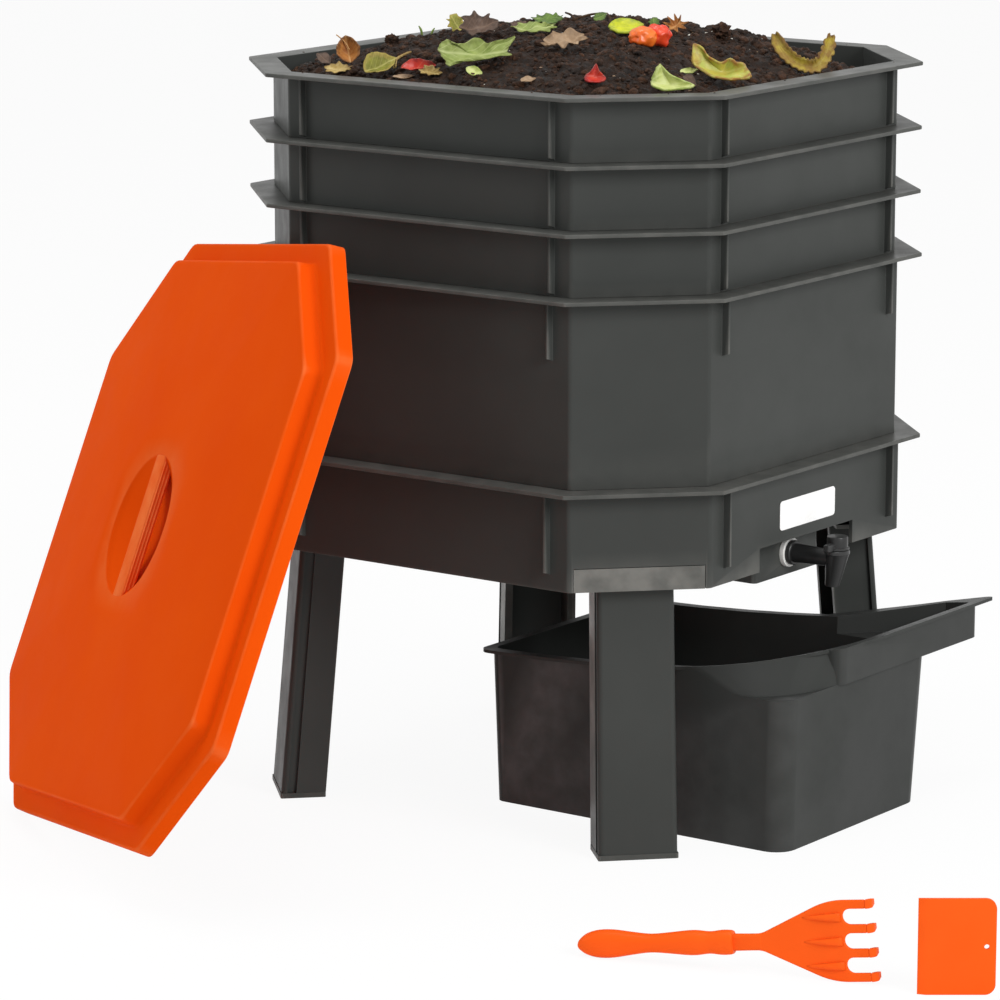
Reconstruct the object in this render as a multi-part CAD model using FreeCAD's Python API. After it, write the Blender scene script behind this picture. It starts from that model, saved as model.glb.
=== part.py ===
import FreeCAD, Part
import math
import os

Vector = FreeCAD.Vector
Rotation = FreeCAD.Rotation

# A worm composting bin: a base with a sump and tap on four splayed legs, a deep bin, three stacking
# trays, a lid, a catch tub and two hand tools. All sizes are in millimetres and degrees. The origin lies
# on the floor under the middle of the stack, +Z is up and the tap faces -Y.

# Heights of the stack, measured between the tops of the rims
BASE_RIM_HEIGHT = 265.3
SKIRT_DEPTH = 72.0
BIN_PITCH = 134.4
TRAY_PITCH = 46.6

# The mouth that every level shares, half its width across the flats and the cut at each corner
MOUTH_HALF = 188.5
MOUTH_CUT = 66.6
WALL = 3.0

# How far each level's wall stands outside a tray's wall, and how far its rim reaches past the wall
BIN_FLARE = 2.0
BASE_FLARE = 4.8
TRAY_OVERHANG = 17.0
BIN_OVERHANG = 16.5
BASE_OVERHANG = 14.7
RIM_THICKNESS = 2.8
RIM_CORNER_RADIUS = 3.0
WALL_CORNER_RADIUS = 5.0

# The narrower foot of each level, which nests in the mouth below
NEST_GAP = 1.2
NEST_TAPER = 3.0
TRAY_NEST = 34.0
BIN_NEST = 16.0

# Drain slots through the floors of the bin and the trays
SLOT_LENGTH = 56.0
SLOT_WIDTH = 6.0
SLOT_PITCH_LONG = 78.0
SLOT_PITCH_WIDE = 54.0
SLOT_MARGIN = 12.0

# Upright fins under the rims, a pair on each long face
FIN_OFFSET = 108.3
FIN_THICKNESS = 2.0
FIN_REACH = 5.7
FIN_SLOPE = 2.0
TRAY_FIN_GAP = 1.0
BIN_FIN_LENGTH = 42.0
BASE_FIN_LENGTH = 58.0

# The base's pan, which drains to a sump behind a notch in the tap's face
PAN_CLEARANCE = 10.0
PAN_SLOPE = 2.2
SUMP_WIDTH = 84.0
SUMP_LENGTH = 70.0
SUMP_SETBACK = 16.6
SUMP_DROP = 14.4
SUMP_RADIUS = 4.0
NOTCH_WIDTH = 124.0
NOTCH_HEIGHT = 17.0
PAN_RIB_OFFSET = 96.0
PAN_RIB_DEPTH = 12.0
PAN_RIB_THICKNESS = 2.4

# The bare label plate on the tap's face
LABEL_WIDTH = 73.0
LABEL_HEIGHT = 21.3
LABEL_THICKNESS = 0.6
LABEL_RADIUS = 3.0
LABEL_RISE = 36.2

# Legs: an open channel with a head that fills a notch in the base's corner
LEG_SPLAY = 16.5
LEG_SETBACK = 13.6
LEG_FOOT_WIDTH = 57.0
LEG_HEAD_WIDTH = 55.0
LEG_DEPTH = 33.0
LEG_SIDE_WALL = 6.0
LEG_EDGE = 4.5
LEG_EDGE_RADIUS = 4.0
GROOVE_WIDTH = 6.5
GROOVE_DEPTH = 3.0
PAD_HEIGHT = 3.8
PAD_LIP = 1.0
HEAD_PLATE_HEIGHT = 16.5
HEAD_PLATE_MARGIN = 3.8
HEAD_GAP = 0.35
SPIGOT_WIDTH = 42.0
SPIGOT_DEPTH = 24.0
SPIGOT_RISE = 17.0

# The tap, on an axis that runs out through the sump's front wall
TAP_RISE = 16.7
TAP_STEM_RADIUS = 6.5
TAP_STEM_GAP = 0.25
TAP_BORE_RADIUS = 3.0
TAP_STEM_INSIDE = 14.0
WASHER_RADIUS = 10.8
WASHER_THICKNESS = 3.5
COLLAR_RADIUS = 9.6
COLLAR_LENGTH = 4.0
BARREL_RADIUS = 5.6
TAP_HEAD_REACH = 42.5
TAP_HEAD_RADIUS = 9.3
TAP_HEAD_RISE = 6.8
SPOUT_RADIUS = 5.2
SPOUT_DROP = 20.2
SPOUT_WALL = 1.6
TAP_SIDES = 24
INNER_WASHER_THICKNESS = 2.0
NUT_ACROSS_FLATS = 22.0
NUT_THICKNESS = 7.0
SPINDLE_RADIUS = 4.5
SPINDLE_GAP = 0.05
SPINDLE_DROP = 6.0
KNOB_RADIUS = 9.8
KNOB_HEIGHT = 9.6
KNOB_GAP = 0.4
KNOB_RECESS = 5.0
LEVER_LENGTH = 15.5
LEVER_WIDTH = 5.0
LEVER_HEIGHT = 5.2

# The lid, in its own frame: its border's upper face is level with zero and its hollow faces down
LID_RIM_GAP = 6.5
LID_CORNER_CUT = 80.2
LID_SKIRT = 12.0
LID_FLARE = 1.2
LID_BORDER = 16.5
LID_PANEL_CUT = 75.3
LID_PANEL_RISE = 13.3
LID_PANEL_DRAFT = 2.0
LID_CROWN_HALF = 72.0
LID_CROWN_CUT = 28.0
LID_CROWN_RISE = 8.0
LID_RING_GAP = 2.5
LID_RING_DEPTH = 14.0
DISH_RADIUS = 51.5
DISH_DEPTH = 18.0
DISH_RINGS = 4
DISH_SIDES = 30
GRIP_WIDTH = 17.0
GRIP_THICKNESS = 6.0

# How the lid leans: its tilt from upright, the way its top faces in plan, and its turn in its own plane
LID_LEAN = 22.2
LID_HEADING = 146.5
LID_ROLL = 8.4
LEAN_GAP = 6.4
LEAN_SHIFT = 21.7

# The catch tub: its sides at the floor and how far they lean out up to the rim, in the stack's frame
TUB_LEFT = -93.0
TUB_RIGHT = 93.0
TUB_FRONT = -238.0
TUB_BACK = 13.0
TUB_LEFT_FLARE = 8.0
TUB_RIGHT_FLARE = 4.0
TUB_FRONT_FLARE = 7.0
TUB_BACK_HEIGHT = 116.4
TUB_RIM_RISE = 20.8
TUB_RIM_SAG = 0.8
TUB_RIM_STEPS = 8
TUB_FOOT_RADIUS = 16.0
TUB_BACK_RADIUS = 8.0
TUB_BAND_ALONG = 72.0
TUB_BAND_BEHIND = 44.0
TUB_SWEEP_RADIUS = 122.0
TUB_CHORDS = 8
TUB_WALL = 2.6
TUB_RIM_REACH = 5.0
TUB_RIM_THICKNESS = 2.4
TROUGH_DEPTH = 25.0
TROUGH_REACH = 67.0
TROUGH_START = -154.0
TROUGH_END_WIDTH = 26.0
TROUGH_BAND_LEFT = -34.0
TROUGH_RADIUS = 9.0
TROUGH_LIP = 22.0

# The bed of compost in the top tray, which heaps up over the rim
FILL_GAP = 0.5
FILL_EDGE_DROP = 11.0
FILL_CROWN = 30.0
HEAP_PROFILE = ((1.0, 0.0), (0.8, 0.49), (0.48, 0.86), (0.16, 1.0))

# The hand rake, on edge on the floor; its handle's profile is the distance from the end and the width there
RAKE_X = -365.7
RAKE_Y = -255.7
RAKE_HEADING = -73.2
HANDLE_THICKNESS = 14.0
HANDLE_PROFILE = ((1.0, 5.0), (6.0, 13.2), (19.0, 18.6), (37.5, 14.8), (54.0, 12.1), (65.0, 13.9),
                  (82.0, 16.1), (91.0, 14.3), (99.0, 16.0), (107.0, 15.4))
HANDLE_SIDES = 12
NECK_WIDTH = 11.1
NECK_LENGTH = 19.0
NECK_THICKNESS = 6.0
FAN_LENGTH = 46.0
FAN_WIDTH = 54.5
FAN_RADIUS = 50.0
TINE_LENGTH = 20.0
TINE_COUNT = 4
TINE_WIDTH = 5.8
TINE_ROOT_LENGTH = 10.0
RAKE_PLATE = 3.0

# The scraper, a flat card on edge with two rounded corners and a hanging hole
SCRAPER_X = -299.8
SCRAPER_Y = -501.9
SCRAPER_HEADING = -54.0
SCRAPER_LENGTH = 50.0
SCRAPER_WIDTH = 63.8
SCRAPER_THICKNESS = 2.6
SCRAPER_RADIUS = 7.0
SCRAPER_HOLE_RADIUS = 1.7
SCRAPER_HOLE_INSET = 6.0
SCRAPER_BEVEL = 1.8

# Sizes that follow from the ones above
CUT_PER_HALF = 2.0 - math.sqrt(2.0)
TRAY_WALL_HALF = MOUTH_HALF + WALL
BIN_WALL_HALF = TRAY_WALL_HALF + BIN_FLARE
BASE_WALL_HALF = TRAY_WALL_HALF + BASE_FLARE
TRAY_RIM_HALF = TRAY_WALL_HALF + TRAY_OVERHANG
BIN_RIM_HALF = BIN_WALL_HALF + BIN_OVERHANG
BASE_RIM_HALF = BASE_WALL_HALF + BASE_OVERHANG
NEST_HALF = MOUTH_HALF - NEST_GAP
SKIRT_HEIGHT = BASE_RIM_HEIGHT - SKIRT_DEPTH
BIN_HEIGHT = BASE_RIM_HEIGHT + BIN_PITCH
SUMP_FRONT = -BASE_WALL_HALF + SUMP_SETBACK
SUMP_HEIGHT = SKIRT_HEIGHT - SUMP_DROP
TAP_HEIGHT = SUMP_HEIGHT + TAP_RISE
TAP_HEAD_Y = SUMP_FRONT - TAP_HEAD_REACH
HEAD_TOP = TAP_HEIGHT + TAP_HEAD_RISE
LID_HALF = TRAY_RIM_HALF + LID_RIM_GAP + WALL


def cut_at(half):
    """Corner cut of the outline that runs parallel to the mouth at this half width."""
    return MOUTH_CUT + (half - MOUTH_HALF) * CUT_PER_HALF


def corner_distance(half):
    """Distance from the stack's axis to the cut corner's face."""
    return (2.0 * half - cut_at(half)) / math.sqrt(2.0)


def outline(corners, height):
    """Closed wire through corners given as x, y and radius, with an arc where the radius isn't zero."""
    stretches = []
    for index, (x, y, radius) in enumerate(corners):
        corner = Vector(x, y, height)
        last = corners[index - 1]
        following = corners[(index + 1) % len(corners)]
        back = (Vector(last[0], last[1], height) - corner).normalize()
        ahead = (Vector(following[0], following[1], height) - corner).normalize()
        half_angle = back.getAngle(ahead) / 2.0
        run = radius / math.tan(half_angle)
        rise = radius / math.sin(half_angle) - radius
        middle = corner + (back + ahead).normalize() * rise
        stretches.append((corner + back * run, middle, corner + ahead * run))
    edges = []
    for index, (start, middle, end) in enumerate(stretches):
        if corners[index][2] > 0.0:
            edges.append(Part.Arc(start, middle, end).toShape())
        next_start = stretches[(index + 1) % len(stretches)][0]
        if end.distanceToPoint(next_start) > 1e-6:
            edges.append(Part.makeLine(end, next_start))
    return Part.Wire(edges)


def octagon_corners(half, cut=None):
    """Corners of a square with cut corners, parallel to the mouth unless a cut is given."""
    reach = half - (cut_at(half) if cut is None else cut)
    points = [(half, -reach), (half, reach), (reach, half), (-reach, half)]
    return points + [(-half, reach), (-half, -reach), (-reach, -half), (reach, -half)]


def octagon(half, height, radius=0.0, cut=None):
    """Outline of a square with cut corners."""
    return outline([(x, y, radius) for x, y in octagon_corners(half, cut)], height)


def octagon_points(half, height, cut=None):
    """The corners of the same outline as points."""
    return [Vector(x, y, height) for x, y in octagon_corners(half, cut)]


def flat_sided(levels):
    """Solid with flat sides between rings of points that have as many corners."""
    faces = []
    for points in (levels[0], levels[-1]):
        faces.append(Part.Face(Part.makePolygon(points + [points[0]])))
    for lower, upper in zip(levels, levels[1:]):
        for index, point in enumerate(lower):
            side = [point, lower[(index + 1) % len(lower)], upper[(index + 1) % len(lower)], upper[index]]
            normal = (side[1] - side[0]).cross(side[3] - side[0])
            if abs(normal.dot(side[2] - side[0])) < 1e-6 * normal.Length:
                faces.append(Part.Face(Part.makePolygon(side + [side[0]])))
            else:
                faces.append(Part.Face(Part.makePolygon([side[0], side[1], side[2], side[0]])))
                faces.append(Part.Face(Part.makePolygon([side[0], side[2], side[3], side[0]])))
    solid = Part.Solid(Part.Shell(faces))
    if solid.Volume < 0.0:
        solid.reverse()
    return solid


def many_sided(start, radius, end, end_radius, sides):
    """Tapering bar of many flat sides between two points."""
    axis = (Vector(*end) - Vector(*start)).normalize()
    across = axis.cross(Vector(1, 0, 0))
    other = axis.cross(across)
    rings = []
    for middle, size in ((start, radius), (end, end_radius)):
        points = []
        for index in range(sides):
            angle = 2.0 * math.pi * index / sides
            points.append(Vector(*middle) + across * (size * math.cos(angle)) + other * (size * math.sin(angle)))
        rings.append(points)
    return flat_sided(rings)


def rectangle(left, right, front, back, height, radius=0.0):
    """Rectangular outline with one radius at its corners."""
    sides = [(left, front), (right, front), (right, back), (left, back)]
    return outline([(x, y, radius) for x, y in sides], height)


def prism(wire, rise):
    """Solid between a flat outline and its copy, higher by rise."""
    return Part.Face(wire).extrude(Vector(0.0, 0.0, rise))


def loft(*wires):
    """Solid with straight walls between outlines."""
    return Part.makeLoft(list(wires), True, True)


def box(low, high):
    """Block between two opposite corners."""
    size = [b - a for a, b in zip(low, high)]
    return Part.makeBox(size[0], size[1], size[2], Vector(*low))


def rod(radius, start, end):
    """Round bar between two points."""
    axis = Vector(*end) - Vector(*start)
    return Part.makeCylinder(radius, axis.Length, Vector(*start), axis)


def turned(shape, angle):
    """Copy of a shape turned about the stack's axis."""
    copy = shape.copy()
    copy.rotate(Vector(0, 0, 0), Vector(0, 0, 1), angle)
    return copy


def moved(shape, x, y, z):
    """Copy of a shape shifted by x, y and z."""
    copy = shape.copy()
    copy.translate(Vector(x, y, z))
    return copy


def on_edge(shape, tilt, heading, x, y):
    """Copy of a tool drawn flat, stood on its lower edge on the floor, tilted along itself and turned."""
    standing = shape.copy()
    standing.rotate(Vector(0, 0, 0), Vector(1, 0, 0), 90.0)
    standing.rotate(Vector(0, 0, 0), Vector(0, 1, 0), -tilt)
    standing = turned(standing, heading)
    return moved(standing, x, y, -standing.optimalBoundingBox().ZMin)


def save(name, shape, solids=1):
    """Write one node and print its volume, so that a lost or broken solid shows."""
    if solids == 1:
        shape = shape.Solids[0] if len(shape.Solids) == 1 else shape
    found = len(shape.Solids)
    print(f"{name}: {found} of {solids} solids, {shape.Volume / 1000.0:.2f} cm3, valid {shape.isValid()}")
    shape.exportStep(f"parts/{name}.step")


def fins(wall_half, rim_top, length):
    """The pairs of upright fins under a rim on the four long faces, sloped at their lower ends."""
    reach = wall_half + FIN_REACH
    root = wall_half - WALL / 2.0
    top = rim_top - RIM_THICKNESS / 2.0
    low = rim_top - RIM_THICKNESS - length
    profile = [Vector(root, 0, top), Vector(reach, 0, top), Vector(reach, 0, low + FIN_SLOPE)]
    profile += [Vector(root, 0, low), Vector(root, 0, top)]
    plate = Part.Face(Part.makePolygon(profile)).extrude(Vector(0, FIN_THICKNESS, 0))
    pieces = []
    for quarter in range(4):
        for side in (-1, 1):
            placed = moved(plate, 0, side * FIN_OFFSET - FIN_THICKNESS / 2.0, 0)
            pieces.append(turned(placed, 90.0 * quarter))
    return pieces


def drain_slots(half, height, depth):
    """Rows of slots that drain a floor, kept inside its cut corners."""
    room = 2.0 * (half - SLOT_MARGIN)
    columns = int((room - SLOT_LENGTH) // SLOT_PITCH_LONG) + 1
    rows = int((room - SLOT_WIDTH) // SLOT_PITCH_WIDE) + 1
    limit = 2.0 * half - cut_at(half) - SLOT_MARGIN
    slots = []
    for column in range(columns):
        x = (column - (columns - 1) / 2.0) * SLOT_PITCH_LONG
        for row in range(rows):
            y = (row - (rows - 1) / 2.0) * SLOT_PITCH_WIDE
            if abs(x) + SLOT_LENGTH / 2.0 + abs(y) + SLOT_WIDTH / 2.0 < limit:
                low = (x - SLOT_LENGTH / 2.0, y - SLOT_WIDTH / 2.0, height)
                high = (x + SLOT_LENGTH / 2.0, y + SLOT_WIDTH / 2.0, height + depth)
                slots.append(box(low, high))
    return slots


def rim_plate(rim_half):
    """Flat octagonal rim whose upper face is level with zero."""
    return prism(octagon(rim_half, -RIM_THICKNESS, RIM_CORNER_RADIUS), RIM_THICKNESS)


def stacking_level(pitch, wall_half, rim_half, nest, fin_length):
    """A tray or the bin: rim, wall, shoulder and a tapered foot with a slotted floor."""
    radius = WALL_CORNER_RADIUS
    foot_half = NEST_HALF - NEST_TAPER
    body = prism(octagon(wall_half, -pitch, radius), pitch)
    foot = flat_sided([octagon_points(NEST_HALF, -pitch), octagon_points(foot_half, -pitch - nest)])
    solid = body.multiFuse([rim_plate(rim_half), foot] + fins(wall_half, 0.0, fin_length))
    mouth = prism(octagon(MOUTH_HALF, -RIM_THICKNESS), RIM_THICKNESS)
    hollow = prism(octagon(wall_half - WALL, -pitch + WALL), pitch - WALL - RIM_THICKNESS)
    floor = -pitch - nest + WALL
    taper = NEST_TAPER * WALL / nest
    upper = octagon_points(NEST_HALF - WALL, -pitch + WALL)
    well = flat_sided([octagon_points(foot_half - WALL + taper, floor), upper])
    slots = drain_slots(foot_half - WALL, floor - 2.0 * WALL, 3.0 * WALL)
    return solid.cut(Part.makeCompound([mouth, hollow, well])).cut(Part.makeCompound(slots)).removeSplitter()


def make_trays():
    """The three trays and the deep bin, each standing on the rim below it."""
    fin_length = TRAY_PITCH - RIM_THICKNESS - TRAY_FIN_GAP
    tray = stacking_level(TRAY_PITCH, TRAY_WALL_HALF, TRAY_RIM_HALF, TRAY_NEST, fin_length)
    for level, name in enumerate(("tray_lower", "tray_middle", "tray_top")):
        save(name, moved(tray, 0, 0, BIN_HEIGHT + (level + 1) * TRAY_PITCH))
    deep_bin = stacking_level(BIN_PITCH, BIN_WALL_HALF, BIN_RIM_HALF, BIN_NEST, BIN_FIN_LENGTH)
    save("deep_bin", moved(deep_bin, 0, 0, BIN_HEIGHT))


def pan_plane(thickness):
    """Everything above the pan's tilted floor, raised by thickness."""
    size = 4.0 * BASE_RIM_HALF
    highest = BASE_RIM_HEIGHT - BIN_NEST - PAN_CLEARANCE
    block = Part.makeBox(size, size, size, Vector(-size / 2.0, -size + BASE_WALL_HALF, 0))
    block.rotate(Vector(0, BASE_WALL_HALF, 0), Vector(1, 0, 0), PAN_SLOPE)
    return moved(block, 0, 0, highest + thickness - WALL)


def leg_frame(shape, index):
    """Copy of a part drawn with its outer side towards +X, turned to one of the four corners."""
    return turned(shape, 225.0 + 90.0 * index)


def spigot_span():
    """Inner and outer distance of a leg's spigot from the stack's axis."""
    outer = corner_distance(BASE_WALL_HALF) - LEG_SETBACK - LEG_EDGE
    return outer - SPIGOT_DEPTH, outer


def leg_socket(grow, low, high):
    """Block round a leg's spigot, larger than it by grow on every side."""
    inner, outer = spigot_span()
    half = SPIGOT_WIDTH / 2.0 + grow
    return box((inner - grow, -half, low), (outer + grow, half, high))


def head_plate_half():
    """Half the width of the plate that fills the notch in the base's corner."""
    return cut_at(BASE_WALL_HALF) / math.sqrt(2.0) - HEAD_PLATE_MARGIN


def make_base():
    """The base: rim, skirt, sloping pan, sump, leg sockets, ribs and the notches for tap and legs."""
    wall = prism(octagon(BASE_WALL_HALF, SKIRT_HEIGHT, WALL_CORNER_RADIUS), SKIRT_DEPTH)
    room = prism(octagon(BASE_WALL_HALF - WALL, SKIRT_HEIGHT), SKIRT_DEPTH - RIM_THICKNESS)
    above_pan = pan_plane(WALL)
    above_underside = pan_plane(0.0)
    shell = wall.cut(room.common(above_pan)).cut(room.cut(above_underside))
    rim = moved(rim_plate(BASE_RIM_HALF), 0, 0, BASE_RIM_HEIGHT)
    shell = shell.fuse(rim)
    low = SUMP_HEIGHT
    top = BASE_RIM_HEIGHT - RIM_THICKNESS
    back = SUMP_FRONT + SUMP_LENGTH
    half = SUMP_WIDTH / 2.0
    sump = prism(rectangle(-half, half, SUMP_FRONT, back, low, SUMP_RADIUS), top - low)
    under = [sump.cut(above_pan)]
    for index in range(4):
        socket = leg_frame(leg_socket(HEAD_GAP + WALL, SKIRT_HEIGHT + WALL, top), index)
        under.append(socket.cut(above_pan))
    for side in (-1, 1):
        middle = side * PAN_RIB_OFFSET
        rib_half = PAN_RIB_THICKNESS / 2.0
        reach = BASE_RIM_HALF
        along_y = box((middle - rib_half, -reach, SKIRT_HEIGHT), (middle + rib_half, reach, top))
        band = room.cut(pan_plane(WALL)).common(pan_plane(-PAN_RIB_DEPTH))
        under.append(along_y.common(band))
    shell = shell.multiFuse(under + fins(BASE_WALL_HALF, BASE_RIM_HEIGHT, BASE_FIN_LENGTH))
    inside = SUMP_RADIUS - WALL
    well_wire = rectangle(-half + WALL, half - WALL, SUMP_FRONT + WALL, back - WALL, low + WALL, inside)
    cuts = [prism(well_wire, top - low)]
    mouth_wire = octagon(MOUTH_HALF, BASE_RIM_HEIGHT - 2.0 * RIM_THICKNESS)
    cuts.append(prism(mouth_wire, 3.0 * RIM_THICKNESS))
    notch_top = SKIRT_HEIGHT + NOTCH_HEIGHT
    notch = (-NOTCH_WIDTH / 2.0, -BASE_WALL_HALF - WALL, SKIRT_HEIGHT - WALL)
    cuts.append(box(notch, (NOTCH_WIDTH / 2.0, -BASE_WALL_HALF + 1.5 * WALL, notch_top)))
    face = corner_distance(BASE_WALL_HALF)
    plate_half = head_plate_half() + HEAD_GAP
    plate_top = SKIRT_HEIGHT + HEAD_PLATE_HEIGHT + HEAD_GAP
    for index in range(4):
        gap = box((face - 2.0 * WALL, -plate_half, SKIRT_HEIGHT - WALL), (face + WALL, plate_half, plate_top))
        cuts.append(leg_frame(gap, index))
        roof = SKIRT_HEIGHT + WALL + SPIGOT_RISE + HEAD_GAP
        cuts.append(leg_frame(leg_socket(HEAD_GAP, SKIRT_HEIGHT - WALL, roof), index))
    hole = TAP_STEM_RADIUS + TAP_STEM_GAP
    cuts.append(rod(hole, (0, SUMP_FRONT - WALL, TAP_HEIGHT), (0, SUMP_FRONT + 2.0 * WALL, TAP_HEIGHT)))
    save("base", shell.cut(Part.makeCompound(cuts)).removeSplitter())


def make_label():
    """The bare plate over the notch."""
    middle = SKIRT_HEIGHT + LABEL_RISE
    flat = rectangle(-LABEL_WIDTH / 2.0, LABEL_WIDTH / 2.0, -LABEL_HEIGHT / 2.0, LABEL_HEIGHT / 2.0, 0, LABEL_RADIUS)
    plate = prism(flat, LABEL_THICKNESS)
    plate.rotate(Vector(0, 0, 0), Vector(1, 0, 0), 90.0)
    save("label_plate", moved(plate, 0, -BASE_WALL_HALF, middle))


def leg_section(face, half, height):
    """Channel section of a leg, open on its inner side, with a groove behind its outer edge."""
    inner = half - LEG_SIDE_WALL
    groove_end = LEG_EDGE + GROOVE_WIDTH
    right = [(face, half, LEG_EDGE_RADIUS), (face - LEG_EDGE, half, 0)]
    right += [(face - LEG_EDGE, half - GROOVE_DEPTH, 0), (face - groove_end, half - GROOVE_DEPTH, 0)]
    right += [(face - groove_end, half, 0), (face - LEG_DEPTH, half, 0)]
    right += [(face - LEG_DEPTH, inner, 0), (face - WALL, inner, 0)]
    left = [(x, -y, radius) for x, y, radius in reversed(right)]
    return outline(right + left, height)


def make_legs():
    """Four splayed legs with their foot pads, head plates and spigots."""
    face = corner_distance(BASE_WALL_HALF)
    head_face = face - LEG_SETBACK
    foot_face = head_face + LEG_SPLAY
    rise = PAD_HEIGHT / SKIRT_HEIGHT
    low_half = (LEG_FOOT_WIDTH + (LEG_HEAD_WIDTH - LEG_FOOT_WIDTH) * rise) / 2.0
    low = leg_section(foot_face - LEG_SPLAY * rise, low_half, PAD_HEIGHT)
    channel = loft(low, leg_section(head_face, LEG_HEAD_WIDTH / 2.0, SKIRT_HEIGHT))
    pad_half = LEG_FOOT_WIDTH / 2.0 + PAD_LIP
    pad_wire = rectangle(foot_face - LEG_DEPTH - PAD_LIP, foot_face + PAD_LIP, -pad_half, pad_half, 0, LEG_EDGE_RADIUS)
    pad = prism(pad_wire, PAD_HEIGHT)
    plate_half = head_plate_half()
    inner = spigot_span()[0] - WALL
    web = box((inner, -plate_half, SKIRT_HEIGHT), (face, plate_half, SKIRT_HEIGHT + WALL))
    plate = box((face - WALL, -plate_half, SKIRT_HEIGHT), (face, plate_half, SKIRT_HEIGHT + HEAD_PLATE_HEIGHT))
    spigot = leg_socket(0.0, SKIRT_HEIGHT, SKIRT_HEIGHT + WALL + SPIGOT_RISE)
    core = leg_socket(-WALL, SKIRT_HEIGHT + WALL, SKIRT_HEIGHT + 2.0 * WALL + SPIGOT_RISE)
    leg = channel.multiFuse([pad, web, plate, spigot]).cut(core).removeSplitter()
    for index, name in enumerate(("front_left", "front_right", "back_right", "back_left")):
        save(f"leg_{name}", leg_frame(leg, index))


def ring(outer, inner, start_y, thickness):
    """Flat ring round the tap's axis, from start_y inwards."""
    start = (0, start_y, TAP_HEIGHT)
    end = (0, start_y + thickness, TAP_HEIGHT)
    return many_sided(start, outer, end, outer, TAP_SIDES).cut(rod(inner, start, end))


def make_tap():
    """The tap: body, spindle, knob, two washers and the nut that clamps it in the sump's wall."""
    collar_back = SUMP_FRONT - WASHER_THICKNESS
    collar_front = collar_back - COLLAR_LENGTH
    stem_end = SUMP_FRONT + WALL + TAP_STEM_INSIDE
    axis_start = (0, stem_end, TAP_HEIGHT)
    spout_end = TAP_HEIGHT - SPOUT_DROP
    spindle_low = TAP_HEIGHT - SPINDLE_DROP
    stem = rod(TAP_STEM_RADIUS, axis_start, (0, collar_front, TAP_HEIGHT))
    barrel_start = (0, collar_front, TAP_HEIGHT)
    collar = many_sided((0, collar_back, TAP_HEIGHT), COLLAR_RADIUS, barrel_start, COLLAR_RADIUS, TAP_SIDES)
    barrel = many_sided(barrel_start, TAP_STEM_RADIUS, (0, TAP_HEAD_Y, TAP_HEIGHT), BARREL_RADIUS, TAP_SIDES)
    spout_start = (0, TAP_HEAD_Y, spout_end)
    head = many_sided(spout_start, SPOUT_RADIUS, (0, TAP_HEAD_Y, HEAD_TOP), TAP_HEAD_RADIUS, TAP_SIDES)
    body = stem.multiFuse([collar, barrel, head])
    seat = rod(SPINDLE_RADIUS + SPINDLE_GAP, (0, TAP_HEAD_Y, spindle_low), (0, TAP_HEAD_Y, HEAD_TOP))
    spout = rod(SPOUT_RADIUS - SPOUT_WALL, (0, TAP_HEAD_Y, spout_end), (0, TAP_HEAD_Y, spindle_low))
    bore = rod(TAP_BORE_RADIUS, axis_start, (0, TAP_HEAD_Y, TAP_HEIGHT))
    save("tap_body", body.cut(seat.multiFuse([spout, bore])))
    knob_low = HEAD_TOP + KNOB_GAP
    spindle_top = knob_low + KNOB_RECESS
    spindle = rod(SPINDLE_RADIUS, (0, TAP_HEAD_Y, spindle_low + KNOB_GAP), (0, TAP_HEAD_Y, spindle_top))
    port = rod(TAP_BORE_RADIUS, (0, TAP_HEAD_Y, TAP_HEIGHT), (2.0 * SPINDLE_RADIUS, TAP_HEAD_Y, TAP_HEIGHT))
    drop = rod(TAP_BORE_RADIUS, (0, TAP_HEAD_Y, spindle_low), (0, TAP_HEAD_Y, TAP_HEIGHT))
    save("tap_spindle", spindle.cut(port.fuse(drop)))
    knob_top = (0, TAP_HEAD_Y, knob_low + KNOB_HEIGHT)
    knob = many_sided((0, TAP_HEAD_Y, knob_low), KNOB_RADIUS, knob_top, KNOB_RADIUS, TAP_SIDES)
    half_lever = LEVER_WIDTH / 2.0
    lever_low = (-LEVER_LENGTH, TAP_HEAD_Y - half_lever, knob_low)
    lever = box(lever_low, (0, TAP_HEAD_Y + half_lever, knob_low + LEVER_HEIGHT))
    recess = rod(SPINDLE_RADIUS, (0, TAP_HEAD_Y, knob_low), (0, TAP_HEAD_Y, spindle_top))
    save("tap_knob", knob.fuse(lever).cut(recess).removeSplitter())
    hole = TAP_STEM_RADIUS + TAP_STEM_GAP
    save("tap_outer_washer", ring(WASHER_RADIUS, hole, collar_back, WASHER_THICKNESS))
    inner_face = SUMP_FRONT + WALL
    save("tap_inner_washer", ring(WASHER_RADIUS, hole, inner_face, INNER_WASHER_THICKNESS))
    nut_face = inner_face + INNER_WASHER_THICKNESS
    corner_radius = NUT_ACROSS_FLATS / math.sqrt(3.0)
    corners = []
    for index in range(6):
        angle = math.radians(60.0 * index)
        corners.append((corner_radius * math.cos(angle), corner_radius * math.sin(angle), 0))
    nut = prism(outline(corners, 0), NUT_THICKNESS)
    nut.rotate(Vector(0, 0, 0), Vector(1, 0, 0), -90.0)
    nut = moved(nut, 0, nut_face, TAP_HEIGHT)
    thread = rod(TAP_STEM_RADIUS, (0, nut_face, TAP_HEIGHT), (0, nut_face + NUT_THICKNESS, TAP_HEIGHT))
    save("tap_lock_nut", nut.cut(thread))


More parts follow.
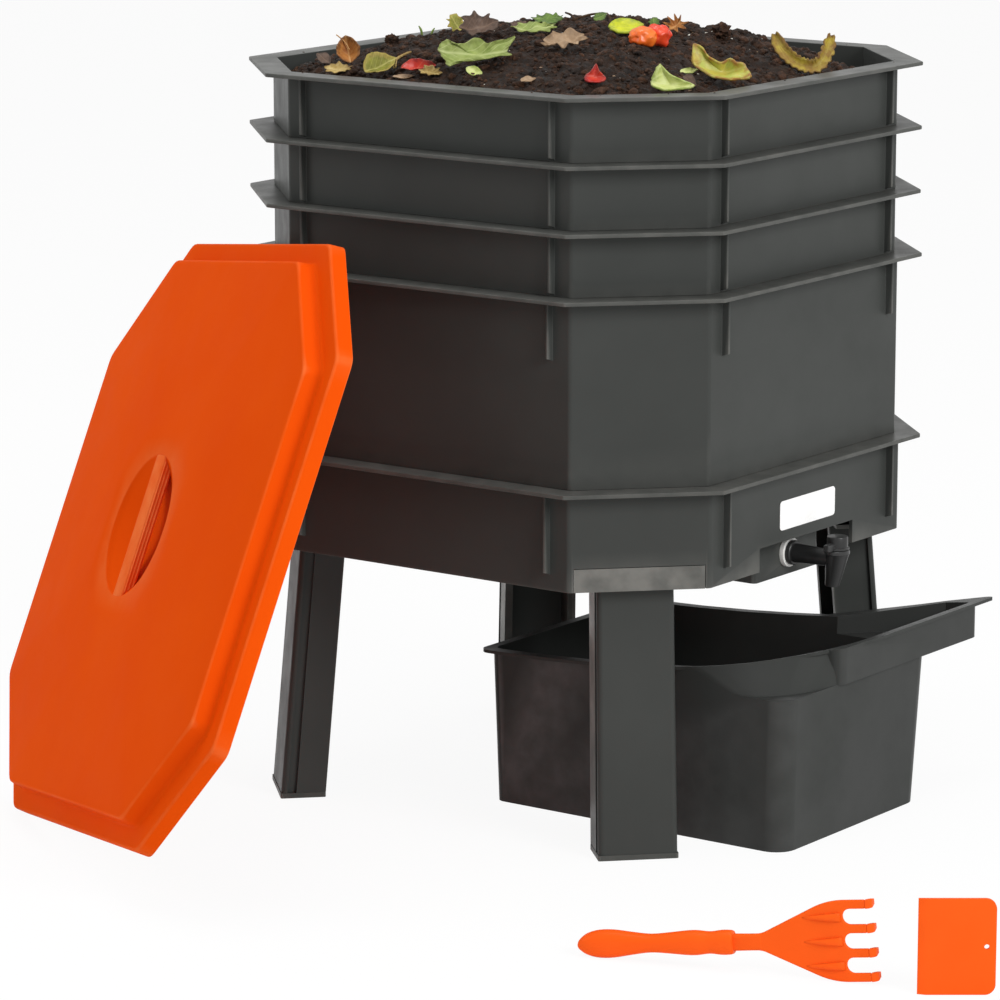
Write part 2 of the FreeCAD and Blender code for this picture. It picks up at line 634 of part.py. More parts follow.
def dish(radius, depth, top):
    """Cap of a ball in rings of flat sides, open side up at height top."""
    ball_radius = (radius ** 2 + depth ** 2) / (2.0 * depth)
    widest = math.asin(radius / ball_radius)
    rings = []
    for step in range(1, DISH_RINGS + 1):
        lean = widest * step / DISH_RINGS
        size = ball_radius * math.sin(lean)
        height = top - depth + ball_radius * (1.0 - math.cos(lean))
        points = []
        for side in range(DISH_SIDES):
            angle = 2.0 * math.pi * side / DISH_SIDES
            points.append(Vector(size * math.cos(angle), size * math.sin(angle), height))
        rings.append(points)
    return flat_sided(rings)


def lid_solid(inset):
    """Outer form of the lid, or with an inset the hollow under it."""
    border = LID_HALF - LID_FLARE
    panel = LID_HALF - LID_BORDER
    cut = inset * CUT_PER_HALF
    low = -LID_SKIRT
    top = LID_PANEL_RISE - inset
    skirt = octagon(LID_HALF - inset, low, RIM_CORNER_RADIUS, LID_CORNER_CUT - cut)
    edge = octagon(border - inset, -inset, RIM_CORNER_RADIUS, LID_CORNER_CUT - cut)
    foot = octagon_points(panel - inset, -inset, LID_PANEL_CUT - cut)
    shoulder = octagon_points(panel - LID_PANEL_DRAFT - inset, top, LID_PANEL_CUT - cut)
    crown = octagon_points(LID_CROWN_HALF, top + LID_CROWN_RISE, LID_CROWN_CUT)
    return loft(skirt, edge).fuse(flat_sided([foot, shoulder, crown]))


def lid_placement(lid):
    """Turn the lid to its lean and stand it on the floor beside the corner of the deep bin's rim."""
    turn = Rotation(Vector(0, 0, 1), LID_HEADING + 90.0)
    turn = turn.multiply(Rotation(Vector(1, 0, 0), 90.0 - LID_LEAN))
    turn = turn.multiply(Rotation(Vector(0, 0, 1), LID_ROLL))
    leaning = lid.copy()
    leaning.Placement = FreeCAD.Placement(Vector(0, 0, 0), turn)
    lift = -leaning.optimalBoundingBox().ZMin
    along = turn.multVec(Vector(1, 0, 0))
    upward = turn.multVec(Vector(0, 1, 0))
    outward = turn.multVec(Vector(0, 0, 1))
    corner = Vector(-BIN_RIM_HALF, BIN_RIM_HALF - cut_at(BIN_RIM_HALF), BIN_HEIGHT)
    offset = along * -LEAN_SHIFT - outward * (LID_SKIRT + LEAN_GAP)
    slide = (corner.z - lift - offset.z) / upward.z
    offset = offset + upward * slide
    return FreeCAD.Placement(Vector(corner.x - offset.x, corner.y - offset.y, lift), turn)


def make_lid():
    """The lid: skirt, raised panel with a shallow crown, locating ring and a dish with a grip across it."""
    crown = LID_PANEL_RISE + LID_CROWN_RISE
    outer = lid_solid(0.0)
    shell = outer.cut(lid_solid(WALL))
    ring_half = MOUTH_HALF - LID_RING_GAP
    ring_height = LID_RING_DEPTH + crown
    ring_wall = prism(octagon(ring_half, -LID_RING_DEPTH), ring_height)
    ring_wall = ring_wall.cut(prism(octagon(ring_half - WALL, -LID_RING_DEPTH), ring_height))
    below_border = prism(octagon(LID_HALF, -LID_RING_DEPTH), LID_RING_DEPTH)
    ring_wall = ring_wall.common(outer.fuse(below_border))
    bowl = dish(DISH_RADIUS + WALL, DISH_DEPTH + WALL, crown)
    shell = shell.multiFuse([ring_wall, bowl]).cut(dish(DISH_RADIUS, DISH_DEPTH, crown))
    grip_half = GRIP_WIDTH / 2.0
    reach = DISH_RADIUS + WALL / 2.0
    grip = box((-grip_half, -reach, crown - GRIP_THICKNESS), (grip_half, reach, crown))
    lid = shell.fuse(grip.common(bowl)).removeSplitter()
    lid.Placement = lid_placement(lid)
    save("lid", lid)


def rim_height(y):
    """Height of the tub's sloping rim at a distance along the tap's direction."""
    share = (TUB_BACK - y) / (TUB_BACK - TUB_FRONT)
    return TUB_BACK_HEIGHT + TUB_RIM_RISE * share * (1.0 - TUB_RIM_SAG + TUB_RIM_SAG * share)


def below_rim(drop):
    """Everything under the tub's sloping rim, lowered by drop."""
    near = 1.2 * TUB_FRONT
    far = 3.0 * TUB_BACK
    side = 4.0 * TUB_RIGHT
    low = -BASE_RIM_HEIGHT
    profile = [Vector(-side, near, low), Vector(-side, far, low)]
    for step in range(TUB_RIM_STEPS + 1):
        y = far + (near - far) * step / TUB_RIM_STEPS
        profile.append(Vector(-side, y, rim_height(y) - drop))
    profile.append(profile[0])
    return Part.Face(Part.makePolygon(profile)).extrude(Vector(2.0 * side, 0, 0))


def tub_ring(height, inset, along, behind):
    """Points round the tub's body at one height, drawn in by inset; one corner has a rounding of its own."""
    share = height / rim_height(TUB_FRONT)
    left = TUB_LEFT - TUB_LEFT_FLARE * share + inset
    right = TUB_RIGHT + TUB_RIGHT_FLARE * share - inset
    front = TUB_FRONT - TUB_FRONT_FLARE * share + inset
    back = TUB_BACK - inset
    near = TUB_FOOT_RADIUS - inset
    far = TUB_BACK_RADIUS - inset
    corners = [(left, front, along - inset, behind - inset), (right, front, -near, near)]
    corners += [(right, back, -far, -far), (left, back, far, -far)]
    points = []
    for index, (x, y, run, rise) in enumerate(corners):
        for step in range(TUB_CHORDS + 1):
            angle = math.pi / 2.0 * step / TUB_CHORDS
            shares = (math.cos(angle), math.sin(angle))
            across, deep = shares if index % 2 == 0 else reversed(shares)
            points.append(Vector(x + run * (1.0 - across), y + rise * (1.0 - deep), height))
    return points


def tub_form(inset, low, ledge, high):
    """Body of the tub, with one corner that is narrow up to the ledge and swept wide above it."""
    foot = TUB_FOOT_RADIUS
    body = flat_sided([tub_ring(low, inset, foot, foot), tub_ring(ledge, inset, foot, foot)])
    foot_of_band = tub_ring(ledge, inset, TUB_BAND_ALONG, TUB_BAND_BEHIND)
    band = flat_sided([foot_of_band, tub_ring(high, inset, TUB_SWEEP_RADIUS, TUB_SWEEP_RADIUS)])
    return body.fuse(band)


def trough(inset, low, high):
    """The pouring trough at the tub's front right corner, drawn in by inset."""
    front = TUB_FRONT - TUB_FRONT_FLARE - TUB_WALL + inset
    tip = TUB_RIGHT + TROUGH_REACH - inset
    side = TUB_RIGHT - inset
    radius = max(TROUGH_RADIUS - inset, 0.5)
    corners = [(TROUGH_BAND_LEFT, front, radius), (tip, front, radius), (tip, front + TROUGH_END_WIDTH - inset, 0)]
    corners += [(side, TROUGH_START - inset, 0), (TROUGH_BAND_LEFT, TROUGH_START - inset, 0)]
    return prism(outline(corners, low), high - low)


def tub_rim():
    """The thin lip round the tub, with its point beyond the trough."""
    reach = TUB_RIM_REACH
    left = TUB_LEFT - TUB_LEFT_FLARE - reach
    right = TUB_RIGHT + TUB_RIGHT_FLARE + reach
    front = TUB_FRONT - TUB_FRONT_FLARE - TUB_WALL - reach / 2.0
    back = TUB_BACK + reach
    end = TUB_RIGHT + TROUGH_REACH
    corners = [(left, front, TUB_SWEEP_RADIUS + reach), (end + TROUGH_LIP, front, reach)]
    corners += [(end + reach / 2.0, front + TROUGH_END_WIDTH + reach, 0), (right, TROUGH_START + reach / 2.0, 0)]
    corners += [(right, back, TUB_BACK_RADIUS), (left, back, TUB_BACK_RADIUS)]
    high = rim_height(front)
    plate = prism(outline(corners, 0), high)
    return plate.common(below_rim(0.0)).cut(below_rim(TUB_RIM_THICKNESS))


def make_tub():
    """The catch tub, with its sloping rim, a ledge under its swept corner and the pouring trough."""
    high = rim_height(TUB_FRONT)
    floor = high - TROUGH_DEPTH
    outer = tub_form(0.0, 0.0, floor, high + WALL).fuse(trough(0.0, floor, high + WALL)).common(below_rim(0.0))
    inner = tub_form(TUB_WALL, TUB_WALL, floor - TUB_WALL, high + 2.0 * WALL)
    channel = trough(TUB_WALL * 2.0, floor + TUB_WALL, high + 2.0 * WALL)
    channel = channel.common(box((TUB_RIGHT - 4.0 * WALL, TUB_FRONT * 2.0, 0), (TUB_RIGHT * 4.0, 0, 2.0 * high)))
    save("catch_tub", outer.fuse(tub_rim()).cut(inner.fuse(channel)).removeSplitter())


def make_compost():
    """The bed of compost: a block that fills the top tray's foot and wall, and a heap over its rim."""
    rim = BIN_HEIGHT + 3 * TRAY_PITCH
    shoulder = rim - TRAY_PITCH + WALL
    floor = rim - TRAY_PITCH - TRAY_NEST + WALL
    foot = NEST_HALF - NEST_TAPER - WALL - FILL_GAP
    full = MOUTH_HALF - FILL_GAP
    edge = rim - FILL_EDGE_DROP
    bed = prism(octagon(foot, floor), shoulder + FILL_GAP - floor)
    upper = prism(octagon(full, shoulder + FILL_GAP), edge - shoulder - FILL_GAP)
    heap_height = FILL_EDGE_DROP + FILL_CROWN
    rings = []
    for share, rise in HEAP_PROFILE:
        rings.append(octagon_points(full * share, edge + heap_height * rise, cut_at(full) * share))
    heap = flat_sided(rings)
    save("compost", bed.multiFuse([upper, heap]).removeSplitter())


def make_rake():
    """The hand rake: a waved grip, a collar, a neck and a fan that ends in hooked tines."""
    middle = HANDLE_THICKNESS / 2.0
    swell, widest = max(HANDLE_PROFILE, key=lambda pair: pair[1])
    rings = []
    for x, width in HANDLE_PROFILE:
        half = width / 2.0
        rise = middle * (0.5 + 0.5 * width / widest)
        points = []
        for side in range(HANDLE_SIDES):
            angle = 2.0 * math.pi * side / HANDLE_SIDES
            points.append(Vector(x, half * math.cos(angle), middle + rise * math.sin(angle)))
        rings.append(points)
    grip = flat_sided(rings)
    collar_end = HANDLE_PROFILE[-1][0]
    neck_end = collar_end + NECK_LENGTH
    fan_end = neck_end + FAN_LENGTH
    tine_root = fan_end + TINE_ROOT_LENGTH
    tine_end = tine_root + TINE_LENGTH
    neck_half = NECK_WIDTH / 2.0
    neck_low = middle - NECK_THICKNESS / 2.0
    neck = box((collar_end - NECK_THICKNESS, -neck_half, neck_low), (neck_end, neck_half, neck_low + NECK_THICKNESS))
    plate_low = middle - RAKE_PLATE / 2.0
    fan_half = FAN_WIDTH / 2.0
    step = (FAN_WIDTH - TINE_WIDTH) / (TINE_COUNT - 1)
    gap_radius = 0.48 * (step - TINE_WIDTH)
    corners = [(neck_end, -neck_half, 0), (fan_end, -fan_half, FAN_RADIUS), (tine_end, -fan_half, 0)]
    for index in range(TINE_COUNT - 1):
        near = -fan_half + TINE_WIDTH + index * step
        far = -fan_half + (index + 1) * step
        corners += [(tine_end, near, 0), (tine_root, near, gap_radius), (tine_root, far, gap_radius)]
        corners += [(tine_end, far, 0)]
    corners += [(tine_end, fan_half, 0), (fan_end, fan_half, FAN_RADIUS), (neck_end, neck_half, 0)]
    pieces = [neck, prism(outline(corners, plate_low), RAKE_PLATE)]
    for index in range(TINE_COUNT):
        low = -fan_half + index * step
        pieces.append(box((tine_end - RAKE_PLATE, low, 0), (tine_end, low + TINE_WIDTH, plate_low + RAKE_PLATE)))
    rake = grip.multiFuse(pieces).removeSplitter()
    run = FAN_RADIUS * math.tan(math.atan2(fan_half - neck_half, FAN_LENGTH) / 2.0)
    along = fan_end + run - swell
    rise = FAN_RADIUS - fan_half + widest / 2.0
    tilt = math.asin(FAN_RADIUS / math.hypot(along, rise)) - math.atan2(rise, along)
    save("hand_rake", on_edge(rake, math.degrees(tilt), RAKE_HEADING, RAKE_X, RAKE_Y))


def make_scraper():
    """The scraper card, bevelled along its working edge."""
    half_length = SCRAPER_LENGTH / 2.0
    half_width = SCRAPER_WIDTH / 2.0
    corners = [(-half_length, -half_width, 0), (half_length, -half_width, SCRAPER_RADIUS)]
    corners += [(half_length, half_width, SCRAPER_RADIUS), (-half_length, half_width, 0)]
    card = prism(outline(corners, 0), SCRAPER_THICKNESS)
    hole_x = half_length - SCRAPER_HOLE_INSET
    hole = rod(SCRAPER_HOLE_RADIUS, (hole_x, 0, 0), (hole_x, 0, SCRAPER_THICKNESS))
    run = 3.0 * SCRAPER_BEVEL
    bevel = [Vector(-half_length, -half_width, SCRAPER_THICKNESS - SCRAPER_BEVEL)]
    bevel += [Vector(-half_length, -half_width, SCRAPER_THICKNESS)]
    bevel += [Vector(-half_length + run, -half_width, SCRAPER_THICKNESS), bevel[0]]
    wedge = Part.Face(Part.makePolygon(bevel)).extrude(Vector(0, SCRAPER_WIDTH, 0))
    scraper = card.cut(hole).cut(wedge)
    save("scraper", on_edge(scraper, 0.0, SCRAPER_HEADING, SCRAPER_X, SCRAPER_Y))


def main():
    """Build every node of the wormery."""
    os.makedirs("parts", exist_ok=True)
    make_base()
    make_label()
    make_legs()
    make_tap()
    make_trays()
    make_compost()
    make_lid()
    make_tub()
    make_rake()
    make_scraper()


main()
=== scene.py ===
"""Looks of the worm composter: its finishes, and finer forms of lid, tap, tools, compost and scraps."""

import logging
import math
from dataclasses import dataclass, field
from enum import Enum
from typing import Sequence

import bmesh
import bpy
from mathutils import Matrix, Vector, noise


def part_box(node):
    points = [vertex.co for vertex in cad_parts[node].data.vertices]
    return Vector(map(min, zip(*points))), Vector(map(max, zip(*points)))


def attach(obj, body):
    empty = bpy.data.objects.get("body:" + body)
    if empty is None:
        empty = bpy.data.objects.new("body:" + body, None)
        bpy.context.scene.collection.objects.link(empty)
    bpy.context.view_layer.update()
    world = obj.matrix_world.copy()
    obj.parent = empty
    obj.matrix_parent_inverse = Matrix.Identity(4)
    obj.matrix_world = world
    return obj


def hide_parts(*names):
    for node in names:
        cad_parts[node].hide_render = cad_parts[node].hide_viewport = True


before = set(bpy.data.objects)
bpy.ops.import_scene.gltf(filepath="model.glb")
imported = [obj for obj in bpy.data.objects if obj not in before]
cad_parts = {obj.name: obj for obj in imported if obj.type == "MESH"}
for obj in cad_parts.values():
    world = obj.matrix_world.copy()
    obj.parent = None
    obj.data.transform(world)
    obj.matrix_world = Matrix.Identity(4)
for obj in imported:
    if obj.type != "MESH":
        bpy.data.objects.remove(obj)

log = logging.getLogger("wormery")

MM = 0.001
CUT_PER_HALF = 2.0 - math.sqrt(2.0)
SKIN_MAP = "skin"
BORDER_ATTRIBUTE = "border"
CORNER_POINTS = 4
FULL_TURN = 6.283
PICTURE_AZIMUTH = -54.024
PICTURE_ELEVATION = 11.639

Mesh = bmesh.types.BMesh
Socket = bpy.types.NodeSocket
Colour = tuple[float, float, float, float]
Point = tuple[float, float, float]
Pair = tuple[float, float]


def srgb(code: str) -> Colour:
    """Scene-linear colour of a six-digit colour code.

    Args:
        code: The code as six hexadecimal digits.

    Returns:
        Red, green, blue and an alpha of one.
    """
    parts = [int(code[i:i + 2], 16) / 255.0 for i in (0, 2, 4)]
    linear = [p / 12.92 if p <= 0.04045 else ((p + 0.055) / 1.055) ** 2.4 for p in parts]
    return linear[0], linear[1], linear[2], 1.0


class Recipe:
    """A material under construction, with short calls for the nodes that the finishes share."""

    def __init__(self, name: str) -> None:
        """Start an empty material with a shader that reaches the output.

        Args:
            name: The material's name.
        """
        self.material = bpy.data.materials.new(name)
        self.material.use_nodes = True
        self.tree = self.material.node_tree
        self.tree.nodes.clear()
        self.output = self.tree.nodes.new("ShaderNodeOutputMaterial")
        self.shader = self.tree.nodes.new("ShaderNodeBsdfPrincipled")
        self.link(self.shader.outputs[0], self.output.inputs[0])
        self.coordinates = self.tree.nodes.new("ShaderNodeTexCoord").outputs["Object"]

    def link(self, source: Socket, target: Socket) -> None:
        """Join two sockets."""
        self.tree.links.new(source, target)

    def feed(self, socket: Socket, value: object) -> None:
        """Set a socket to a number or colour, or link it to another socket.

        Args:
            socket: The socket.
            value: A number, a colour or another socket.
        """
        if isinstance(value, Socket):
            self.link(value, socket)
        else:
            socket.default_value = value

    def noise(self, scale: float, detail: float = 3.0, roughness: float = 0.5,
              vector: Socket | None = None) -> Socket:
        """Soft cloud pattern.

        Args:
            scale: Features per metre.
            detail: Number of finer layers.
            roughness: Weight of the finer layers.
            vector: Coordinates to read, the object's own when left out.

        Returns:
            The pattern's value from 0 to 1.
        """
        made = self.tree.nodes.new("ShaderNodeTexNoise")
        made.inputs["Scale"].default_value = scale
        made.inputs["Detail"].default_value = detail
        made.inputs["Roughness"].default_value = roughness
        self.link(vector or self.coordinates, made.inputs["Vector"])
        return made.outputs[0]

    def cells(self, scale: float) -> Socket:
        """Distance pattern of scattered cells, for pores and grains.

        Args:
            scale: Cells per metre.

        Returns:
            The distance to the nearest cell's middle.
        """
        made = self.tree.nodes.new("ShaderNodeTexVoronoi")
        made.inputs["Scale"].default_value = scale
        self.link(self.coordinates, made.inputs["Vector"])
        return made.outputs["Distance"]

    def math(self, kind: str, first: object, second: object) -> Socket:
        """Result of a calculation such as MULTIPLY or ADD on two values.

        Args:
            kind: The calculation.
            first: First value or socket.
            second: Second value or socket.

        Returns:
            The result.
        """
        made = self.tree.nodes.new("ShaderNodeMath")
        made.operation = kind
        self.feed(made.inputs[0], first)
        self.feed(made.inputs[1], second)
        return made.outputs[0]

    def span(self, value: Socket, start: float, end: float,
             low: float = 0.0, high: float = 1.0) -> Socket:
        """Value stretched from one range to another and held inside it.

        Args:
            value: The incoming value.
            start: Incoming value that gives the low result.
            end: Incoming value that gives the high result.
            low: Result at the start.
            high: Result at the end.

        Returns:
            The stretched value.
        """
        made = self.tree.nodes.new("ShaderNodeMapRange")
        self.link(value, made.inputs["Value"])
        for name, number in (("From Min", start), ("From Max", end), ("To Min", low), ("To Max", high)):
            made.inputs[name].default_value = number
        return made.outputs[0]

    def mix(self, share: object, first: object, second: object) -> Socket:
        """Blend of two colours.

        Args:
            share: Share of the second colour.
            first: First colour or socket.
            second: Second colour or socket.

        Returns:
            The blended colour.
        """
        made = self.tree.nodes.new("ShaderNodeMix")
        made.data_type = "RGBA"
        self.feed(made.inputs[0], share)
        self.feed(made.inputs[6], first)
        self.feed(made.inputs[7], second)
        return made.outputs[2]

    def places(self) -> tuple[Socket, Socket]:
        """Places along and across a thin piece, each from 0 to 1.

        Returns:
            The place along and the place across.
        """
        made = self.tree.nodes.new("ShaderNodeUVMap")
        made.uv_map = SKIN_MAP
        split = self.tree.nodes.new("ShaderNodeSeparateXYZ")
        self.link(made.outputs[0], split.inputs[0])
        return split.outputs[0], split.outputs[1]

    def border(self) -> Socket:
        """Nearness to the border of a thin piece, from 0 in its middle to 1.

        Returns:
            The nearness.
        """
        made = self.tree.nodes.new("ShaderNodeAttribute")
        made.attribute_name = BORDER_ATTRIBUTE
        return made.outputs["Fac"]

    def edges(self, start: float, end: float) -> Socket:
        """One along convex edges and nothing elsewhere."""
        made = self.tree.nodes.new("ShaderNodeNewGeometry")
        return self.span(made.outputs["Pointiness"], start, end)

    def bump(self, height: Socket, strength: float, distance: float) -> None:
        """Raise the surface by a pattern, on top of any earlier one.

        Args:
            height: The pattern.
            strength: Its strength from 0 to 1.
            distance: Height in metres that it stands for.
        """
        made = self.tree.nodes.new("ShaderNodeBump")
        made.inputs["Strength"].default_value = strength
        made.inputs["Distance"].default_value = distance
        self.link(height, made.inputs["Height"])
        normal = self.shader.inputs["Normal"]
        if normal.is_linked:
            self.link(normal.links[0].from_socket, made.inputs["Normal"])
        self.link(made.outputs[0], normal)

    def set(self, name: str, value: object) -> None:
        """Give the shader's socket of that name a value or a link."""
        self.feed(self.shader.inputs[name], value)


@dataclass(frozen=True)
class MouldedPlastic:
    """Moulded plastic with fine grain, faint flow clouds and a painted edge highlight (a darker painted edge
    line on tools).
    """

    name: str
    colour: str
    cloud_colour: str
    # The edge colour and its share are a painted highlight along convex edges, and a darker painted edge
    # line on the tools.
    painted_edge_colour: str
    roughness: float = 0.42
    roughness_spread: float = 0.08
    grain_scale: float = 1500.0
    grain_strength: float = 0.08
    painted_edge_share: float = 0.5
    specular: float = 0.3

    def make(self) -> bpy.types.Material:
        """Build the material.

        Returns:
            The material.
        """
        recipe = Recipe(self.name)
        clouds = recipe.span(recipe.noise(7.0, 4.0, 0.6), 0.35, 0.7)
        base = recipe.mix(clouds, srgb(self.colour), srgb(self.cloud_colour))
        # Painted edge light: a lighter tone, darker on the tools, mixed in along convex edges and broken
        # into patches by noise, standing in for edge highlights.
        painted_edge_patches = recipe.span(recipe.noise(60.0), 0.3, 0.7, 0.4, 1.0)
        painted_edge_mask = recipe.math("MULTIPLY", recipe.edges(0.52, 0.6), painted_edge_patches)
        base = recipe.mix(recipe.math("MULTIPLY", painted_edge_mask, self.painted_edge_share), base, srgb(self.painted_edge_colour))
        recipe.set("Base Color", base)
        low = self.roughness - self.roughness_spread
        high = self.roughness + self.roughness_spread
        recipe.set("Roughness", recipe.span(recipe.noise(35.0, 5.0, 0.65), 0.3, 0.7, low, high))
        recipe.bump(recipe.noise(self.grain_scale, 2.0, 0.6), self.grain_strength, 0.0002)
        recipe.bump(recipe.noise(14.0, 1.0, 0.4), 0.05, 0.002)
        recipe.set("Specular IOR Level", self.specular)
        return recipe.material


@dataclass(frozen=True)
class PaleSkin:
    """Pale dull skin with faint stains and fine pores, as of rubber washers and of eggshell."""

    name: str = "washer_rubber_look"
    colour: str = "F1F1EE"
    stained: str = "D8D7D2"

    def make(self) -> bpy.types.Material:
        """Build the material.

        Returns:
            The material.
        """
        recipe = Recipe(self.name)
        stains = recipe.span(recipe.noise(160.0), 0.45, 0.75)
        recipe.set("Base Color", recipe.mix(stains, srgb(self.colour), srgb(self.stained)))
        recipe.set("Roughness", recipe.span(recipe.noise(300.0), 0.3, 0.7, 0.5, 0.7))
        recipe.bump(recipe.cells(2500.0), 0.1, 0.0001)
        return recipe.material


@dataclass(frozen=True)
class LabelFace:
    """Bare white face of the label plate, smooth and slightly glossy."""

    name: str = "label_face_look"
    colour: str = "FAFAF9"
    shade: str = "F1F1EF"

    def make(self) -> bpy.types.Material:
        """Build the material.

        Returns:
            The material.
        """
        recipe = Recipe(self.name)
        clouds = recipe.span(recipe.noise(45.0), 0.4, 0.75)
        recipe.set("Base Color", recipe.mix(clouds, srgb(self.colour), srgb(self.shade)))
        recipe.set("Roughness", recipe.span(recipe.noise(90.0), 0.3, 0.7, 0.22, 0.34))
        recipe.bump(recipe.noise(900.0), 0.03, 0.0001)
        return recipe.material


@dataclass(frozen=True)
class Soil:
    """Moist compost, near black with brown and grey grains. Lighter colours make it clods or bark."""

    name: str
    dark: str = "110A06"
    brown: str = "2B1B11"
    grain: str = "5A422E"
    scale: float = 1.0

    def make(self) -> bpy.types.Material:
        """Build the material.

        Returns:
            The material.
        """
        recipe = Recipe(self.name)
        patches = recipe.span(recipe.noise(120.0 * self.scale, 6.0, 0.7), 0.4, 0.62)
        base = recipe.mix(patches, srgb(self.dark), srgb(self.brown))
        specks = recipe.span(recipe.noise(900.0 * self.scale, 2.0, 0.6), 0.62, 0.74, 0.0, 0.7)
        recipe.set("Base Color", recipe.mix(specks, base, srgb(self.grain)))
        recipe.set("Roughness", recipe.span(recipe.noise(240.0), 0.35, 0.65, 0.55, 0.9))
        recipe.bump(recipe.noise(420.0 * self.scale, 6.0, 0.7), 0.8, 0.0015)
        recipe.bump(recipe.cells(700.0 * self.scale), 0.4, 0.0008)
        recipe.set("Specular IOR Level", 0.2)
        return recipe.material


@dataclass(frozen=True)
class LeafSkin:
    """Skin of a leaf or peel: mottled, darker towards its border, with a midrib and side veins."""

    name: str
    colour: str
    second: str
    border: str
    vein: str
    veins: float = 6.0
    vein_share: float = 0.6
    roughness: float = 0.55

    def make(self) -> bpy.types.Material:
        """Build the material.

        Returns:
            The material.
        """
        recipe = Recipe(self.name)
        along, across = recipe.places()
        side = recipe.math("ABSOLUTE", recipe.math("SUBTRACT", across, 0.5), 0.0)
        slant = recipe.math("MULTIPLY", recipe.math("SUBTRACT", along, side), self.veins * math.pi)
        wave = recipe.math("ABSOLUTE", recipe.math("SINE", slant, 0.0), 0.0)
        midrib = recipe.span(side, 0.0, 0.04, 1.0, 0.0)
        veins = recipe.math("MAXIMUM", midrib, recipe.span(wave, 0.0, 0.2, 0.8, 0.0))
        mottled = recipe.span(recipe.noise(130.0, 4.0, 0.6), 0.38, 0.62)
        base = recipe.mix(mottled, srgb(self.colour), srgb(self.second))
        edge = recipe.math("ADD", recipe.border(), recipe.span(recipe.noise(200.0), 0.3, 0.7, -0.25, 0.25))
        base = recipe.mix(recipe.span(edge, 0.72, 1.1, 0.0, 0.9), base, srgb(self.border))
        base = recipe.mix(recipe.math("MULTIPLY", veins, self.vein_share), base, srgb(self.vein))
        recipe.set("Base Color", base)
        low = self.roughness - 0.1
        high = self.roughness + 0.12
        recipe.set("Roughness", recipe.span(recipe.noise(260.0), 0.3, 0.7, low, high))
        recipe.bump(veins, 0.35, 0.0005)
        recipe.bump(recipe.noise(700.0, 3.0, 0.6), 0.25, 0.0003)
        recipe.set("Specular IOR Level", 0.3)
        return recipe.material


@dataclass(frozen=True)
class FruitSkin:
    """Taut glossy skin of a fruit, with two tones and fine pores."""

    name: str
    colour: str
    second: str
    roughness: float = 0.24

    def make(self) -> bpy.types.Material:
        """Build the material.

        Returns:
            The material.
        """
        recipe = Recipe(self.name)
        tones = recipe.span(recipe.noise(70.0, 3.0, 0.5), 0.35, 0.65)
        recipe.set("Base Color", recipe.mix(tones, srgb(self.colour), srgb(self.second)))
        low = self.roughness
        high = self.roughness + 0.16
        recipe.set("Roughness", recipe.span(recipe.noise(150.0), 0.3, 0.7, low, high))
        recipe.bump(recipe.noise(900.0), 0.06, 0.0002)
        return recipe.material


class Finish(Enum):
    """The finishes of the composter and of what lies in it."""

    # Each moulded finish's fourth colour is painted along convex edges: a painted highlight, and on the
    # tools a darker painted edge line.
    BODY = MouldedPlastic("body_plastic_look", "3A3C3A", "3F413F", "9C9A94", painted_edge_share=0.6, specular=0.12)
    TUB = MouldedPlastic("tub_plastic_look", "343634", "3A3B3A", "747474", specular=0.1)
    LID = MouldedPlastic("lid_plastic_look", "E24C06", "E65208", "FAA868",
                         0.6, 0.06, 1200.0, 0.05, 0.8, 0.01)
    TOOL = MouldedPlastic("tool_plastic_look", "F75A14", "FA601A", "C24A10",
                          0.4, 0.06, 1600.0, 0.04, 0.7, 0.06)
    TAP = MouldedPlastic("tap_plastic_look", "222323", "292929", "505050",
                         0.34, 0.06, 1800.0, 0.06, 0.6, 0.3)
    RUBBER = PaleSkin()
    LABEL = LabelFace()
    SOIL = Soil("compost_look")
    CLOD = Soil("clod_look", "1E120B", "4A3020", "84684E", 1.4)
    BARK = Soil("twig_look", "2A1D13", "553E2A", "86694A", 1.8)
    EGGSHELL = PaleSkin("eggshell_look", "E8E4DA", "C9BFA8")
    GREEN = LeafSkin("green_leaf_look", "96A25C", "7F8E48", "66702F", "CBD296")
    DARK_GREEN = LeafSkin("dark_green_leaf_look", "5F7A2C", "465E24", "354720", "93A656")
    OLIVE = LeafSkin("olive_leaf_look", "84842E", "6C6A26", "A8924A", "BDB46C")
    TAN = LeafSkin("tan_leaf_look", "AE9478", "987E62", "7A6046", "8A7056")
    BROWN = LeafSkin("brown_leaf_look", "5E4A3D", "4A382D", "34261E", "78604E")
    AMBER = LeafSkin("amber_leaf_look", "B47A3E", "965E2E", "683F1E", "D6AE74")
    STRAW = LeafSkin("straw_leaf_look", "BCA468", "A08648", "74582C", "D8C690")
    YELLOW = LeafSkin("yellow_peel_look", "C8CC1C", "AEB41C", "84962A", "DCDC60", 1.0, 0.12, 0.4)
    DRY_PEEL = LeafSkin("dry_peel_look", "A89436", "86682C", "65431F", "CCC078", 1.0, 0.15, 0.5)
    RIND = LeafSkin("pale_rind_look", "BBC474", "C9CF8C", "84963E", "DCE0B0", 1.0, 0.25, 0.45)
    CURL = LeafSkin("curled_peel_look", "AEB556", "BAAC4C", "8E5A28", "CED07E", 2.0, 0.25, 0.4)
    RED = LeafSkin("red_peel_look", "B42C26", "C4402A", "7C1A18", "E0A890", 2.0, 0.15, 0.35)
    TOMATO = FruitSkin("tomato_look", "D6341E", "E44A24")
    TOMATO_PALE = FruitSkin("pale_tomato_look", "EA5C1A", "F07828")

    def material(self) -> bpy.types.Material:
        """The finish's material, built on first use."""
        found = bpy.data.materials.get(self.value.name)
        return found or self.value.make()


